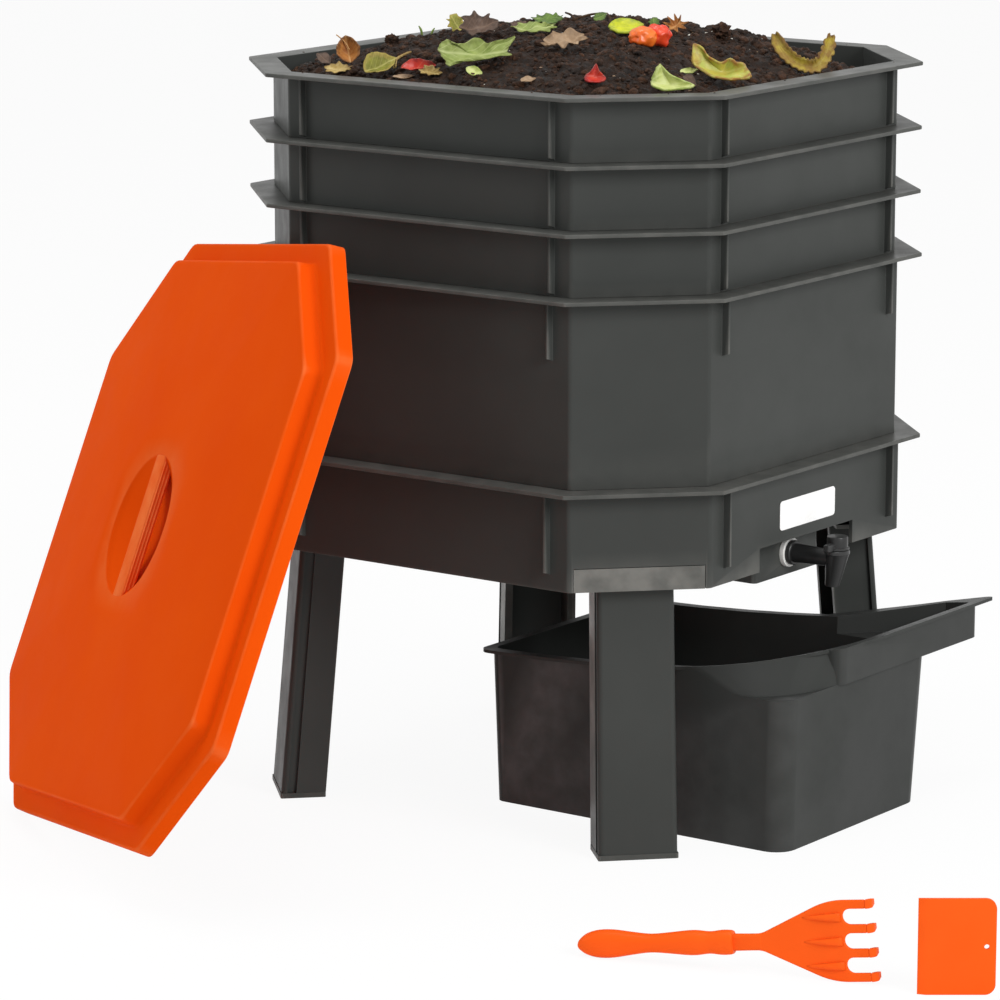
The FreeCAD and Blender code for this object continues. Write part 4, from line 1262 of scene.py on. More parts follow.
@dataclass
class Lid:
    """The leaning lid: skirt, border, raised panel with a shallow crown, locating ring and a dished grip."""

    origin: Point = (-0.315102, 0.138885, 0.222708)
    lean: float = 22.2
    heading: float = 146.5
    roll: float = 8.4
    half: float = 218.0 * MM
    corner_cut: float = 80.2 * MM
    skirt: float = 12.0 * MM
    flare: float = 1.2 * MM
    wall: float = 3.0 * MM
    panel_half: float = 201.5 * MM
    panel_cut: float = 75.3 * MM
    panel_rise: float = 13.3 * MM
    panel_draft: float = 2.0 * MM
    crown_half: float = 72.0 * MM
    crown_cut: float = 28.0 * MM
    crown_rise: float = 8.0 * MM
    ring_half: float = 186.0 * MM
    ring_cut: float = 65.1 * MM
    ring_depth: float = 14.0 * MM
    dish_radius: float = 51.5 * MM
    dish_depth: float = 18.0 * MM
    dish_lip: float = 1.6 * MM
    grip_width: float = 17.0 * MM
    grip_thickness: float = 9.0 * MM
    ridge_count: int = 3
    ridge_pitch: float = 2.3 * MM
    ridge_thickness: float = 0.9 * MM
    ridge_reach: float = 0.7 * MM
    per_side: int = 14
    dish_rings: int = 12
    corner_ease: float = 5.0 * MM
    edge_ease: float = 2.6 * MM
    rim_ease: float = 0.9 * MM
    grip_drop: float = 0.2 * MM

    def place(self) -> Matrix:
        """Turn and position of the leaning lid.

        Returns:
            The transform from the lid's own frame.
        """
        turn = Matrix.Rotation(math.radians(self.heading + 90.0), 4, "Z")
        turn = turn @ Matrix.Rotation(math.radians(90.0 - self.lean), 4, "X")
        turn = turn @ Matrix.Rotation(math.radians(self.roll), 4, "Z")
        return Matrix.Translation(self.origin) @ turn

    def flat_ring(self, half: float, cut: float, height: float, ease: float = 0.0) -> list[Vector]:
        """Octagonal ring at a height."""
        return [Vector((x, y, height)) for x, y in octagon(half, cut, self.per_side, ease)]

    def round_ring(self, radius: float, height: float) -> list[Vector]:
        """Circular ring whose points lie in the directions of the crown's corners and sides.

        Args:
            radius: Its radius.
            height: Its height.

        Returns:
            The ring's points.
        """
        ring = []
        for x, y in octagon(self.crown_half, self.crown_cut, self.per_side, self.corner_ease):
            length = math.hypot(x, y)
            ring.append(Vector((x / length * radius, y / length * radius, height)))
        return ring

    def bowl(self, radius: float, depth: float, top: float) -> list[list[Vector]]:
        """Rings of a hollow ball cap, from near its middle to its edge.

        Args:
            radius: Radius of its edge.
            depth: Its depth.
            top: Height of its edge.

        Returns:
            The rings.
        """
        ball = (radius ** 2 + depth ** 2) / (2.0 * depth)
        widest = math.asin(radius / ball)
        rings = []
        for step in range(1, self.dish_rings + 1):
            lean = widest * step / self.dish_rings
            rings.append(self.round_ring(ball * math.sin(lean), top - depth + ball * (1.0 - math.cos(lean))))
        return rings

    def shell(self) -> Mesh:
        """The lid's shell as one closed surface, from the dish outwards and back underneath.

        Returns:
            The shell's mesh.
        """
        crown = self.panel_rise + self.crown_rise
        inset_cut = self.wall * CUT_PER_HALF
        shoulder = self.panel_half - self.panel_draft
        slope = self.crown_rise / (shoulder - self.crown_half)
        under_ring = self.panel_rise - self.wall + (shoulder - self.wall - self.ring_half) * slope
        lip = self.dish_lip
        rings = self.bowl(self.dish_radius, self.dish_depth, crown - lip)
        rings.append(self.round_ring(self.dish_radius + 0.3 * lip, crown - 0.4 * lip))
        rings.append(self.round_ring(self.dish_radius + lip, crown))
        rim = self.rim_ease
        soft = self.edge_ease
        inner_cut = self.corner_cut - inset_cut
        path = [(self.crown_half, self.crown_cut, crown, 0.0)]
        path += [(shoulder, self.panel_cut, self.panel_rise, soft)]
        path += [(self.panel_half, self.panel_cut, 0.0, soft)]
        path += [(self.half - self.flare, self.corner_cut, 0.0, soft)]
        path += [(self.half, self.corner_cut, -self.skirt, rim)]
        path += [(self.half - self.wall, inner_cut, -self.skirt, rim)]
        path += [(self.half - self.flare - self.wall, inner_cut, -self.wall, rim)]
        path += [(self.panel_half - self.wall, self.panel_cut - inset_cut, -self.wall, rim)]
        path += [(shoulder - self.wall, self.panel_cut - inset_cut, self.panel_rise - self.wall, rim)]
        path += [(self.ring_half, self.ring_cut, under_ring, rim)]
        path += [(self.ring_half, self.ring_cut, -self.ring_depth, rim)]
        path += [(self.ring_half - self.wall, self.ring_cut - inset_cut, -self.ring_depth, rim)]
        path += [(self.ring_half - self.wall, self.ring_cut - inset_cut, under_ring, 0.0)]
        for half, cut, height in eased(path):
            rings.append(self.flat_ring(half, cut, height, self.corner_ease))
        rings.append(self.flat_ring(self.crown_half, self.crown_cut, crown - self.wall, self.corner_ease))
        rings.extend(reversed(self.bowl(self.dish_radius + self.wall, self.dish_depth + self.wall, crown)))
        return skin(rings)

    def grip(self) -> Mesh:
        """The bar across the dish.

        Returns:
            The bar's mesh.
        """
        top = self.panel_rise + self.crown_rise
        half = self.grip_width / 2.0
        reach = self.dish_radius + self.wall / 2.0
        return block((-half, -reach, top - self.grip_thickness), (half, reach, top - self.grip_drop))

    def ridges(self) -> Mesh:
        """Thin finger ridges along both sides of the bar, shorter further down, where the dish narrows.

        Returns:
            All ridges as one mesh.
        """
        middle = self.panel_rise + self.crown_rise - self.ridge_pitch
        half = self.grip_width / 2.0 + self.ridge_reach
        reach = math.sqrt(self.dish_radius ** 2 - half ** 2) - self.ridge_pitch
        rise = self.ridge_thickness / 2.0
        slab = block((-half, -reach, middle - rise), (half, reach, middle + rise))
        row = Row(self.ridge_count, (0.0, 0.0, -self.ridge_pitch), self.ridge_pitch / reach)
        return row.lay(slab, Finish.LID)

    def build(self, shop: Workshop) -> None:
        """Make the lid in place of its node.

        Args:
            shop: The workshop that finishes the pieces.
        """
        common = (Finish.LID, "cover", "lid_plastic", ("lid",), self.place())
        shop.piece("lid_shell", self.shell(), *common, sharp=60.0)
        shop.piece("lid_grip", self.grip(), *common, Edging(1.6 * MM, 3))
        shop.piece("lid_ridges", self.ridges(), *common, Edging(0.3 * MM))


@dataclass
class CatchTub:
    """The tub that catches the liquid under the tap."""

    def build(self, shop: Workshop) -> None:
        """Make the tub in place of its node."""
        MouldedPiece("catch_tub", "tub", Finish.TUB, "body_plastic", Edging(0.7 * MM, 3)).build(shop)


@dataclass
class HandRake:
    """The hand rake: a waved grip, a neck with a fan of four hooked tines, and stiffening ridges."""

    spot: Pair = (-365.7 * MM, -255.7 * MM)
    heading: float = -73.2
    tilt: float = -6.345
    thickness: float = 14.0 * MM
    profile: tuple[Pair, ...] = (
        (1.0, 3.4), (2.0, 7.2), (6.0, 13.2), (12.0, 17.2), (19.0, 18.6), (27.0, 17.8), (37.5, 14.8),
        (47.0, 12.4), (54.0, 12.1), (65.0, 13.9), (75.0, 15.8), (82.0, 16.1), (91.0, 14.3), (99.0, 16.0),
        (105.0, 15.8), (107.0, 14.6))
    widest: float = 18.6
    neck_width: float = 11.1 * MM
    neck_thickness: float = 6.0 * MM
    neck_start: float = 101.0 * MM
    fan_start: float = 126.0 * MM
    fan_end: float = 172.0 * MM
    fan_width: float = 54.5 * MM
    fan_radius: float = 50.0 * MM
    plate: float = 3.0 * MM
    tine_root: float = 182.0 * MM
    tine_end: float = 202.0 * MM
    tine_width: float = 5.8 * MM
    tines: int = 4
    bend: float = 4.5 * MM
    ridge_length: float = 26.0 * MM
    ridge_width: float = 6.4 * MM
    ridge_rise: float = 2.4 * MM
    ridge_tip: float = 0.4 * MM
    ridge_stop: float = 1.2 * MM
    ridge_sunk: float = 0.6 * MM
    ridge_steps: int = 9
    ridge_sides: int = 8
    hook_steps: int = 6
    hook_tail: int = 2
    hook_fall: float = 2.0 * MM
    hook_taper: float = 0.35 * MM
    hook_lowest: float = 0.05 * MM
    neck_tail: float = 8.0 * MM
    neck_radius: float = 14.0 * MM
    roundness: float = 2.6

    def pitch(self) -> float:
        """Distance from one tine to the next."""
        return (self.fan_width - self.tine_width) / (self.tines - 1)

    def grip(self) -> Mesh:
        """The waved grip, oval across, with soft ends.

        Returns:
            The grip's mesh.
        """
        middle = self.thickness / 2.0
        rings = []
        for along, width in smooth_through(self.profile, 5):
            half = width * MM / 2.0
            rise = middle * (0.5 + 0.5 * min(1.0, width / self.widest))
            ring = []
            for x, y, z in circle(1.0, 0.0, sides=32):
                square = (abs(x) ** self.roundness + abs(y) ** self.roundness) ** (-1.0 / self.roundness)
                ring.append(Vector((along * MM, x * square * half, middle + y * square * rise)))
            rings.append(ring)
        return skin(rings)

    def fan(self) -> Mesh:
        """The fan's plate with the straight parts of the tines.

        Returns:
            The plate's mesh.
        """
        half = self.fan_width / 2.0
        neck = self.neck_width / 2.0
        gap = self.pitch() - self.tine_width
        stop = self.tine_end - self.bend
        tail = self.fan_start - self.neck_tail
        corners = [(tail, -neck, 0.0), (self.fan_start, -neck, self.neck_radius)]
        corners += [(self.fan_end, -half, self.fan_radius), (stop, -half, 0.0)]
        for index in range(self.tines - 1):
            near = -half + self.tine_width + index * self.pitch()
            corners += [(stop, near, 0.0), (self.tine_root, near, 0.48 * gap)]
            corners += [(self.tine_root, near + gap, 0.48 * gap), (stop, near + gap, 0.0)]
        corners += [(stop, half, 0.0), (self.fan_end, half, self.fan_radius)]
        corners += [(self.fan_start, neck, self.neck_radius), (tail, neck, 0.0)]
        low = (self.thickness - self.plate) / 2.0
        return plate(rounded_outline(corners), low, low + self.plate)

    def hook(self) -> Mesh:
        """The bent end of the first tine, narrowing towards its tip.

        Returns:
            The hook's mesh.
        """
        top = (self.thickness + self.plate) / 2.0
        start = self.tine_end - self.bend
        low = -self.fan_width / 2.0
        rings = []
        for step in range(self.hook_steps + self.hook_tail + 1):
            turn = math.radians(90.0) * min(1.0, step / self.hook_steps)
            fall = max(0, step - self.hook_steps) * self.hook_fall
            inset = self.hook_taper * max(0, step + 1 - self.hook_steps)
            height = top - self.bend * (1.0 - math.cos(turn)) - fall
            outer = Vector((start + self.bend * math.sin(turn), 0.0, height))
            inner = outer - Vector((math.sin(turn), 0.0, math.cos(turn))) * self.plate
            near, far = low + inset, low + self.tine_width - inset
            corners = ((outer, near), (outer, far), (inner, far), (inner, near))
            rings.append([Vector((p.x, y, max(p.z, self.hook_lowest))) for p, y in corners])
        return skin(rings)

    def ridge(self) -> Mesh:
        """The first stiffening ridge, widest and highest at the root of a gap.

        Returns:
            The ridge's mesh.
        """
        top = (self.thickness + self.plate) / 2.0
        middle = -self.fan_width / 2.0 + self.tine_width + (self.pitch() - self.tine_width) / 2.0
        rings = []
        for step in range(self.ridge_steps + 1):
            share = step / self.ridge_steps
            along = self.tine_root - self.ridge_stop - self.ridge_length * (1.0 - share)
            half = self.ridge_tip + (self.ridge_width / 2.0 - self.ridge_tip) * share ** 0.8
            rise = self.ridge_rise * min(1.0, share * 2.0) * (1.0 if share < 0.9 else 0.4)
            ring = []
            for corner in range(self.ridge_sides + 1):
                turn = math.pi * corner / self.ridge_sides
                inside = 0 < corner < self.ridge_sides
                height = rise * math.sin(turn) ** 0.7 if inside else -self.ridge_sunk
                ring.append(Vector((along, middle - half * math.cos(turn), top + height)))
            rings.append(ring)
        return skin(rings)

    def place(self, meshes: Sequence[Mesh]) -> Matrix:
        """Turn and position of the rake on its edge, with its lowest point on the floor.

        Args:
            meshes: All meshes of the rake.

        Returns:
            The transform from the rake's own frame.
        """
        turn = Matrix.Rotation(math.radians(self.heading), 4, "Z")
        turn = turn @ Matrix.Rotation(math.radians(self.tilt), 4, "Y")
        turn = turn @ Matrix.Rotation(math.radians(90.0), 4, "X")
        lowest = min((turn @ vertex.co).z for mesh in meshes for vertex in mesh.verts)
        return Matrix.Translation((*self.spot, -lowest)) @ turn

    def build(self, shop: Workshop) -> None:
        """Make the rake in place of its node.

        Args:
            shop: The workshop that finishes the pieces.
        """
        half = self.neck_width / 2.0
        low = (self.thickness - self.neck_thickness) / 2.0
        neck_end = self.fan_start + 1.0 * MM
        neck = block((self.neck_start, -half, low), (neck_end, half, low + self.neck_thickness))
        for vertex in neck.verts:
            if vertex.co.x > self.fan_start:
                vertex.co.z += (self.thickness / 2.0 - vertex.co.z) * 0.4
        step = (0.0, self.pitch(), 0.0)
        parts = {"grip": (self.grip(), None), "neck": (neck, Edging(1.8 * MM, 4))}
        parts["fan"] = (self.fan(), Edging(0.9 * MM, 3))
        parts["hooks"] = (Row(self.tines, step).lay(self.hook(), Finish.TOOL), Edging(0.8 * MM, 3))
        parts["ridges"] = (Row(self.tines - 1, step).lay(self.ridge(), Finish.TOOL), None)
        place = self.place([mesh for mesh, edging in parts.values()])
        for name, (mesh, edging) in parts.items():
            shop.piece(f"rake_{name}", mesh, Finish.TOOL, "rake", "tool_plastic", ("hand_rake",),
                       place, edging, sharp=None)


@dataclass
class ScraperCard:
    """The flat scraper card with its bevelled working edge."""

    def build(self, shop: Workshop) -> None:
        """Make the card in place of its node."""
        MouldedPiece("scraper", "card", Finish.TOOL, "tool_plastic", Edging(0.5 * MM, 3)).build(shop)


@dataclass
class CompostHeap:
    """The heap of compost in the top tray, with clods, crumbs, eggshell and twigs on it."""

    rim: float = 539.5 * MM
    half: float = 188.0 * MM
    cut: float = 66.3 * MM
    foot_half: float = 180.8 * MM
    shoulder: float = 496.4 * MM
    floor: float = 462.2 * MM
    near_drop: float = 12.0 * MM
    far_drop: float = 8.0 * MM
    crown: float = 27.5 * MM
    highest: float = 569.3 * MM
    slope_start: float = -40.0 * MM
    side_sag: float = 0.2
    fullness: float = 2.4
    lump_rise: float = 3.0 * MM
    clod_rise: float = 5.5 * MM
    crumb_rise: float = 1.6 * MM
    settled: float = 2.0 * MM
    floor_gap: float = 0.3 * MM
    litter_depth: float = 0.4 * MM
    litter_room: float = 2.6 * MM
    ledge_band: Pair = (2.6 * MM, 6.0 * MM)
    rings: int = 96
    per_side: int = 42
    ledge_per_side: int = 6
    litters: tuple[Litter, ...] = (
        Litter("clods", Finish.CLOD, 9000.0, 1.5 * MM, 4.8 * MM, 0.75, 1.4, 0.45, 2, 11, 2.4),
        Litter("crumbs", Finish.CLOD, 26000.0, 0.7 * MM, 2.2 * MM, 0.8, 1.4, 0.4, 1, 23, 1.6),
        Litter("moist_crumbs", Finish.SOIL, 26000.0, 0.8 * MM, 3.0 * MM, 0.8, 1.4, 0.4, 1, 31, 2.0),
        Litter("eggshell_specks", Finish.EGGSHELL, 2600.0, 0.4 * MM, 1.4 * MM, 0.5, 1.8, 0.2, 1, 47, 2.6),
        Litter("wood_bits", Finish.BARK, 2600.0, 0.5 * MM, 1.4 * MM, 0.5, 7.0, 0.1, 1, 59, 1.5),
        Litter("dry_bits", Finish.TAN, 900.0, 0.5 * MM, 1.7 * MM, 0.35, 3.4, 0.2, 1, 71, 2.0),
    )

    def share(self, x: float, y: float) -> float:
        """Distance from the middle as a share of the way to the tray's wall."""
        flat = max(abs(x), abs(y)) / self.half
        return max(flat, (abs(x) + abs(y)) / (2.0 * self.half - self.cut))

    def height(self, x: float, y: float) -> float:
        """Height of the soil at a place, with its lumps and crumbs.

        Args:
            x: Place along X.
            y: Place along Y.

        Returns:
            The height.
        """
        share = self.share(x, y)
        far = min(1.0, max(0.0, (x - self.slope_start) / (self.half - self.slope_start)))
        drop = self.near_drop + self.far_drop * far
        top = self.crown * (1.0 - self.side_sag * (y / self.half) ** 2)
        dome = self.rim - drop + (drop + top) * (1.0 - share ** self.fullness)
        place = Vector((x, y, 0.0))
        lumps = noise.fractal(place * 24.0 + Vector((3.1, 7.7, 0.0)), 0.9, 2.1, 4) * self.lump_rise
        clods = (0.42 - noise.voronoi(place * 120.0)[0][0]) * self.clod_rise
        crumbs = noise.fractal(place * 260.0 + Vector((9.0, 2.0, 4.0)), 0.7, 2.2, 3) * self.crumb_rise
        return min(dome - self.settled + lumps + clods + crumbs, self.highest)

    def top(self) -> list[list[Vector]]:
        """Rings of the rough top, from near its middle to the wall.

        Returns:
            The rings.
        """
        rings = []
        for index in range(1, self.rings + 1):
            share = index / self.rings
            points = octagon(self.half * share, self.cut * share, self.per_side)
            rings.append([Vector((x, y, self.height(x, y))) for x, y in points])
        return rings

    def bed(self) -> Mesh:
        """The bed as a closed surface: the rough top, its sides in the tray and its flat underside.

        Returns:
            The bed's mesh.
        """
        rings = self.top()
        foot_cut = self.cut + (self.foot_half - self.half) * CUT_PER_HALF
        foot = octagon(self.foot_half, foot_cut, self.per_side)
        rings.append([Vector((p.x, p.y, self.shoulder)) for p in rings[-1]])
        rings.append([Vector((x, y, self.shoulder)) for x, y in foot])
        rings.append([Vector((x, y, self.floor + self.floor_gap)) for x, y in foot])
        return skin(rings)

    def ground(self) -> Mesh:
        """The part of the top that the litter lies on, which stops short of the wall and the highest soil.

        Returns:
            The open surface.
        """
        depth = Vector((0.0, 0.0, self.litter_depth))
        mesh = skin([[point - depth for point in ring] for ring in self.top()[1:-3:2]], cap_end=False)
        for vertex in mesh.verts:
            vertex.co.z = min(vertex.co.z, self.highest - self.litter_room)
        return mesh

    def ledge(self) -> Mesh:
        """A narrow band of the tray's flat rim, where a few crumbs have fallen.

        Returns:
            The open surface.
        """
        rings = []
        for out in self.ledge_band:
            half = self.half + out
            cut = self.cut + (half - self.half) * CUT_PER_HALF
            outline = octagon(half, cut, self.ledge_per_side)
            rings.append([Vector((x, y, self.rim)) for x, y in outline])
        return skin(rings, False, False)

    def build(self, shop: Workshop) -> None:
        """Make the heap in place of its node, and strew the litter.

        Args:
            shop: The workshop that finishes the pieces.
        """
        shop.fill("compost_bed", self.bed(), Finish.SOIL, ("compost",))
        for litter in self.litters:
            mesh = litter.strew(self.ground())
            for vertex in mesh.verts:
                vertex.co.z = min(vertex.co.z, self.highest)
            shop.fill(f"compost_{litter.name}", mesh, litter.finish)
        fallen = Litter("rim_crumbs", Finish.CLOD, 4200.0, 0.3 * MM, 1.1 * MM, 0.6, 1.4, 0.2, 1, 83, 2.0)
        shop.fill("compost_rim_crumbs", fallen.strew(self.ledge()), fallen.finish)


@dataclass(frozen=True)
class Lie:
    """Where a scrap's lower edge meets the soil, in millimetres, and how steeply the scrap leans up."""

    x: float
    y: float
    z: float
    tilt: float = 35.0

    def at(self, right: float, up: float, out: float) -> Vector:
        """Point at distances in millimetres from the scrap's lower edge.

        Args:
            right: Distance to the right, seen from the front.
            up: Distance up the slope.
            out: Distance out of the face.

        Returns:
            The point in metres.
        """
        turn = math.radians(PICTURE_AZIMUTH)
        slope = math.radians(self.tilt)
        side = Vector((math.cos(turn), math.sin(turn), 0.0))
        away = Vector((-math.sin(turn), math.cos(turn), 0.0))
        rise = away * math.cos(slope) + Vector((0.0, 0.0, math.sin(slope)))
        return (Vector((self.x, self.y, self.z)) + side * right + rise * up + side.cross(rise) * out) * MM

    def length(self, seen: float) -> float:
        """Length up the slope that looks as long as given from the front."""
        return seen / math.sin(math.radians(self.tilt + PICTURE_ELEVATION))


class Outline(Enum):
    """Outlines of leaves and peels, as points round their middle from -1 to 1 on both sides."""

    OVAL = ((1.0, 0.0), (0.75, 0.32), (0.35, 0.66), (-0.1, 0.8), (-0.55, 0.66), (-0.88, 0.34),
            (-1.0, 0.0), (-0.86, -0.36), (-0.5, -0.7), (-0.05, -0.78), (0.4, -0.6), (0.78, -0.3))
    LOBED = ((1.0, 0.42), (0.72, 0.34), (0.6, 0.66), (0.36, 0.56), (0.12, 0.98), (-0.14, 0.7),
             (-0.5, 0.8), (-0.62, 0.46), (-1.0, 0.3), (-0.82, -0.04), (-0.92, -0.5), (-0.6, -0.52),
             (-0.36, -1.0), (-0.04, -0.68), (0.34, -0.76), (0.5, -0.42), (0.84, -0.24), (0.76, 0.08))
    BROAD = ((1.0, 0.88), (0.86, 0.25), (0.79, 0.05), (0.9, -0.25), (0.6, -0.33), (0.2, -0.53),
             (-0.18, -0.6), (-0.56, -0.7), (-0.74, -1.0), (-0.84, -0.5), (-0.97, -0.1), (-1.0, 0.3),
             (-0.77, 0.7), (-0.64, 0.36), (-0.46, 0.34), (-0.13, 0.65), (0.1, 0.76), (0.37, 0.53),
             (0.76, 0.65))
    WEDGE = ((0.1, 1.0), (0.42, 0.3), (1.0, -0.4), (0.66, -0.9), (-0.2, -1.0), (-0.9, -0.7), (-0.8, -0.1),
             (-0.3, 0.3))
    TORN = ((1.0, 0.1), (0.62, 0.3), (0.7, 0.62), (0.3, 0.5), (0.0, 0.9), (-0.3, 0.62), (-0.7, 0.72),
            (-0.66, 0.3), (-1.0, 0.05), (-0.72, -0.28), (-0.6, -0.74), (-0.2, -0.62), (0.12, -0.9),
            (0.4, -0.56), (0.82, -0.5))
    HALF_MOON = ((-0.55, 1.0), (-0.84, 0.42), (-1.0, -0.2), (-0.9, -0.72), (-0.4, -1.0), (0.3, -0.96),
                 (0.88, -0.78), (1.0, -0.5), (0.52, -0.14), (0.02, 0.16), (-0.26, 0.52))
    CURLED = ((-0.86, 1.0), (-0.6, 0.86), (-0.34, 0.42), (0.02, 0.16), (0.34, 0.34), (0.54, 0.12),
              (0.82, 0.04), (1.0, -0.66), (0.92, -0.94), (0.46, -1.0), (-0.12, -0.84), (-0.58, -0.42),
              (-0.92, 0.2))
    FROND = ((1.0, 0.5), (0.5, 0.3), (0.6, 0.9), (0.2, 0.4), (-0.05, 1.0), (-0.25, 0.4), (-0.75, 0.8),
             (-0.55, 0.15), (-1.0, -0.1), (-0.5, -0.25), (-0.6, -0.9), (-0.15, -0.4), (0.2, -1.0),
             (0.35, -0.3), (0.95, -0.5), (0.55, 0.05))
    SLIVER = ((1.0, 0.1), (0.5, 0.55), (-0.2, 0.75), (-0.8, 0.4), (-1.0, -0.1), (-0.5, -0.5), (0.3, -0.6))


@dataclass(frozen=True)
class Leaf:
    """A leaf or flat peel: a thin sheet with a lobed or oval outline, cupped, folded and waved."""

    name: str
    finish: Finish
    lie: Lie
    wide: float
    tall: float
    spin: float = 0.0
    outline: Outline = Outline.OVAL
    cup: float = 0.15
    fold: float = 0.0
    wave: float = 0.06
    thickness: float = 0.5
    sunk: float = 1.0
    rings: int = 10
    steps: int = 5

    def border(self) -> list[Pair]:
        """The border's points round the leaf's middle, a little ragged.

        Returns:
            The points, before the leaf is turned and sized.
        """
        corners = self.outline.value
        looped = (corners[-1], *corners, corners[0], corners[1])
        middle = [sum(point[axis] for point in corners) / len(corners) for axis in (0, 1)]
        found = []
        for x, y in smooth_through(looped, self.steps)[self.steps:-self.steps - self.steps]:
            ragged = 1.0 + 0.06 * noise.noise(Vector((x * 6.0, y * 6.0, self.spin)))
            found.append(((x - middle[0]) * ragged, (y - middle[1]) * ragged))
        return found

    def spun(self, x: float, y: float) -> Pair:
        """Point turned by the leaf's spin."""
        turn = math.radians(self.spin)
        return x * math.cos(turn) - y * math.sin(turn), x * math.sin(turn) + y * math.cos(turn)

    def mesh(self) -> Mesh:
        """The leaf as a sheet, with its places and its border written into it.

        Returns:
            The sheet.
        """
        raw = self.border()
        turned = [self.spun(x, y) for x, y in raw]
        low = [min(p[axis] for p in turned) for axis in (0, 1)]
        high = [max(p[axis] for p in turned) for axis in (0, 1)]
        length = self.lie.length(self.tall)
        size = max(self.wide, length)
        mesh = bmesh.new()
        border = mesh.verts.layers.float.new(BORDER_ATTRIBUTE)
        rows = []
        spots = {}
        for ring in range(self.rings + 1):
            share = ring / self.rings
            row = []
            for (x, y), (u, v) in zip(raw, turned):
                if ring == 0 and row:
                    break
                right = self.wide * ((u * share - low[0]) / (high[0] - low[0]) - 0.5)
                up = length * (v * share - low[1]) / (high[1] - low[1]) - self.sunk
                out = self.cup * size * (share ** 2) * 0.5 + self.fold * size * abs(y) * share
                ripple = noise.noise(Vector((u * share * 2.1, v * share * 2.1, self.spin + self.wide)))
                out += self.wave * size * ripple
                vertex = mesh.verts.new(self.lie.at(right, up, out))
                vertex[border] = share
                spots[vertex] = (0.5 + 0.5 * x * share, 0.5 + 0.5 * y * share)
                row.append(vertex)
            rows.append(row)
        count = len(raw)
        for index in range(count):
            following = (index + 1) % count
            mesh.faces.new((rows[0][0], rows[1][index], rows[1][following]))
            for inner, outer in zip(rows[1:], rows[2:]):
                mesh.faces.new((inner[index], outer[index], outer[following], inner[following]))
        return mapped(mesh, spots)

    def build(self, shop: Workshop) -> None:
        """Make the leaf."""
        shop.fill(self.name, self.mesh(), self.finish, thickness=self.thickness * MM)


def mapped(mesh: Mesh, spots: dict[bmesh.types.BMVert, Pair]) -> Mesh:
    """Mesh with its skin map filled in from a place for each of its points.

    Args:
        mesh: The mesh.
        spots: The place of each of its points.

    Returns:
        The same mesh.
    """
    layer = mesh.loops.layers.uv.new(SKIN_MAP)
    for face in mesh.faces:
        for loop in face.loops:
            loop[layer].uv = spots[loop.vert]
    return mesh


@dataclass(frozen=True)
class Peel:
    """A strip of peel along a curved path, hollow across."""

    name: str
    finish: Finish
    lie: Lie
    path: tuple[Point, ...]
    width: float
    roll: float = 35.0
    hollow: float = 0.25
    thickness: float = 0.9
    ragged: float = 0.08
    steps: int = 8
    across: int = 6

    def mesh(self) -> Mesh:
        """The strip as a sheet, with its places and its border written into it.

        Returns:
            The sheet.
        """
        curve = smooth_through(self.path, self.steps)
        line = [self.lie.at(right, self.lie.length(up), out) for right, up, out in curve]
        face = (self.lie.at(0.0, 0.0, 1.0) - self.lie.at(0.0, 0.0, 0.0)).normalized()
        mesh = bmesh.new()
        border = mesh.verts.layers.float.new(BORDER_ATTRIBUTE)
        rows = []
        spots = {}
        last = len(line) - 1
        for index, point in enumerate(line):
            ahead = (line[min(last, index + 1)] - line[max(0, index - 1)]).normalized()
            sideways = Matrix.Rotation(math.radians(self.roll), 3, ahead) @ ahead.cross(face).normalized()
            outward = sideways.cross(ahead)
            share = index / last
            narrow = min(1.0, 6.0 * share + 0.35, 6.0 * (1.0 - share) + 0.35)
            narrow *= 1.0 + self.ragged * math.sin(index * 1.9) + self.ragged * math.sin(index * 4.3)
            row = []
            for step in range(self.across + 1):
                place = 2.0 * step / self.across - 1.0
                bow = self.hollow * self.width * (place * place - 0.5)
                offset = sideways * place * self.width * 0.5 * narrow + outward * bow
                vertex = mesh.verts.new(point + offset * MM)
                vertex[border] = max(abs(place), abs(2.0 * share - 1.0) ** 4)
                spots[vertex] = (share, 0.5 + 0.5 * place)
                row.append(vertex)
            rows.append(row)
        for near, far in zip(rows, rows[1:]):
            for step in range(self.across):
                mesh.faces.new((near[step], near[step + 1], far[step + 1], far[step]))
        return mapped(mesh, spots)

    def build(self, shop: Workshop) -> None:
        """Make the strip."""
        shop.fill(self.name, self.mesh(), self.finish, thickness=self.thickness * MM)


@dataclass(frozen=True)
class Chunk:
    """A lump of soil or a piece of fruit."""

    name: str
    finish: Finish
    lie: Lie
    radii: Point
    ruggedness: float = 0.1
    fineness: int = 4
    waves: float = 1.6

    def build(self, shop: Workshop) -> None:
        """Make the lump.

        Args:
            shop: The workshop that finishes the pieces.
        """
        mesh = bmesh.new()
        bmesh.ops.create_icosphere(mesh, subdivisions=self.fineness, radius=1.0)
        shift = Vector((self.lie.x, self.lie.y, 0.0))
        for vertex in mesh.verts:
            swell = 1.0 + self.ruggedness * noise.fractal(vertex.co * self.waves + shift, 0.8, 2.1, 3)
            right, up, out = (a * b * swell for a, b in zip(vertex.co, self.radii))
            vertex.co = self.lie.at(right, up + 0.8 * self.radii[1], out)
        shop.fill(self.name, mesh, self.finish)


@dataclass(frozen=True)
class Twig:
    """A stick or a stalk through points in millimetres, with a radius at each."""

    name: str
    finish: Finish
    points: tuple[tuple[float, float, float, float], ...]
    steps: int = 5
    sides: int = 8

    def build(self, shop: Workshop) -> None:
        """Make the stick.

        Args:
            shop: The workshop that finishes the pieces.
        """
        line = smooth_through(self.points, self.steps)
        path = [Vector(point[:3]) * MM for point in line]
        mesh = tube(path, [point[3] * MM for point in line], self.sides)
        shop.fill(self.name, mesh, self.finish, sharp=50.0)


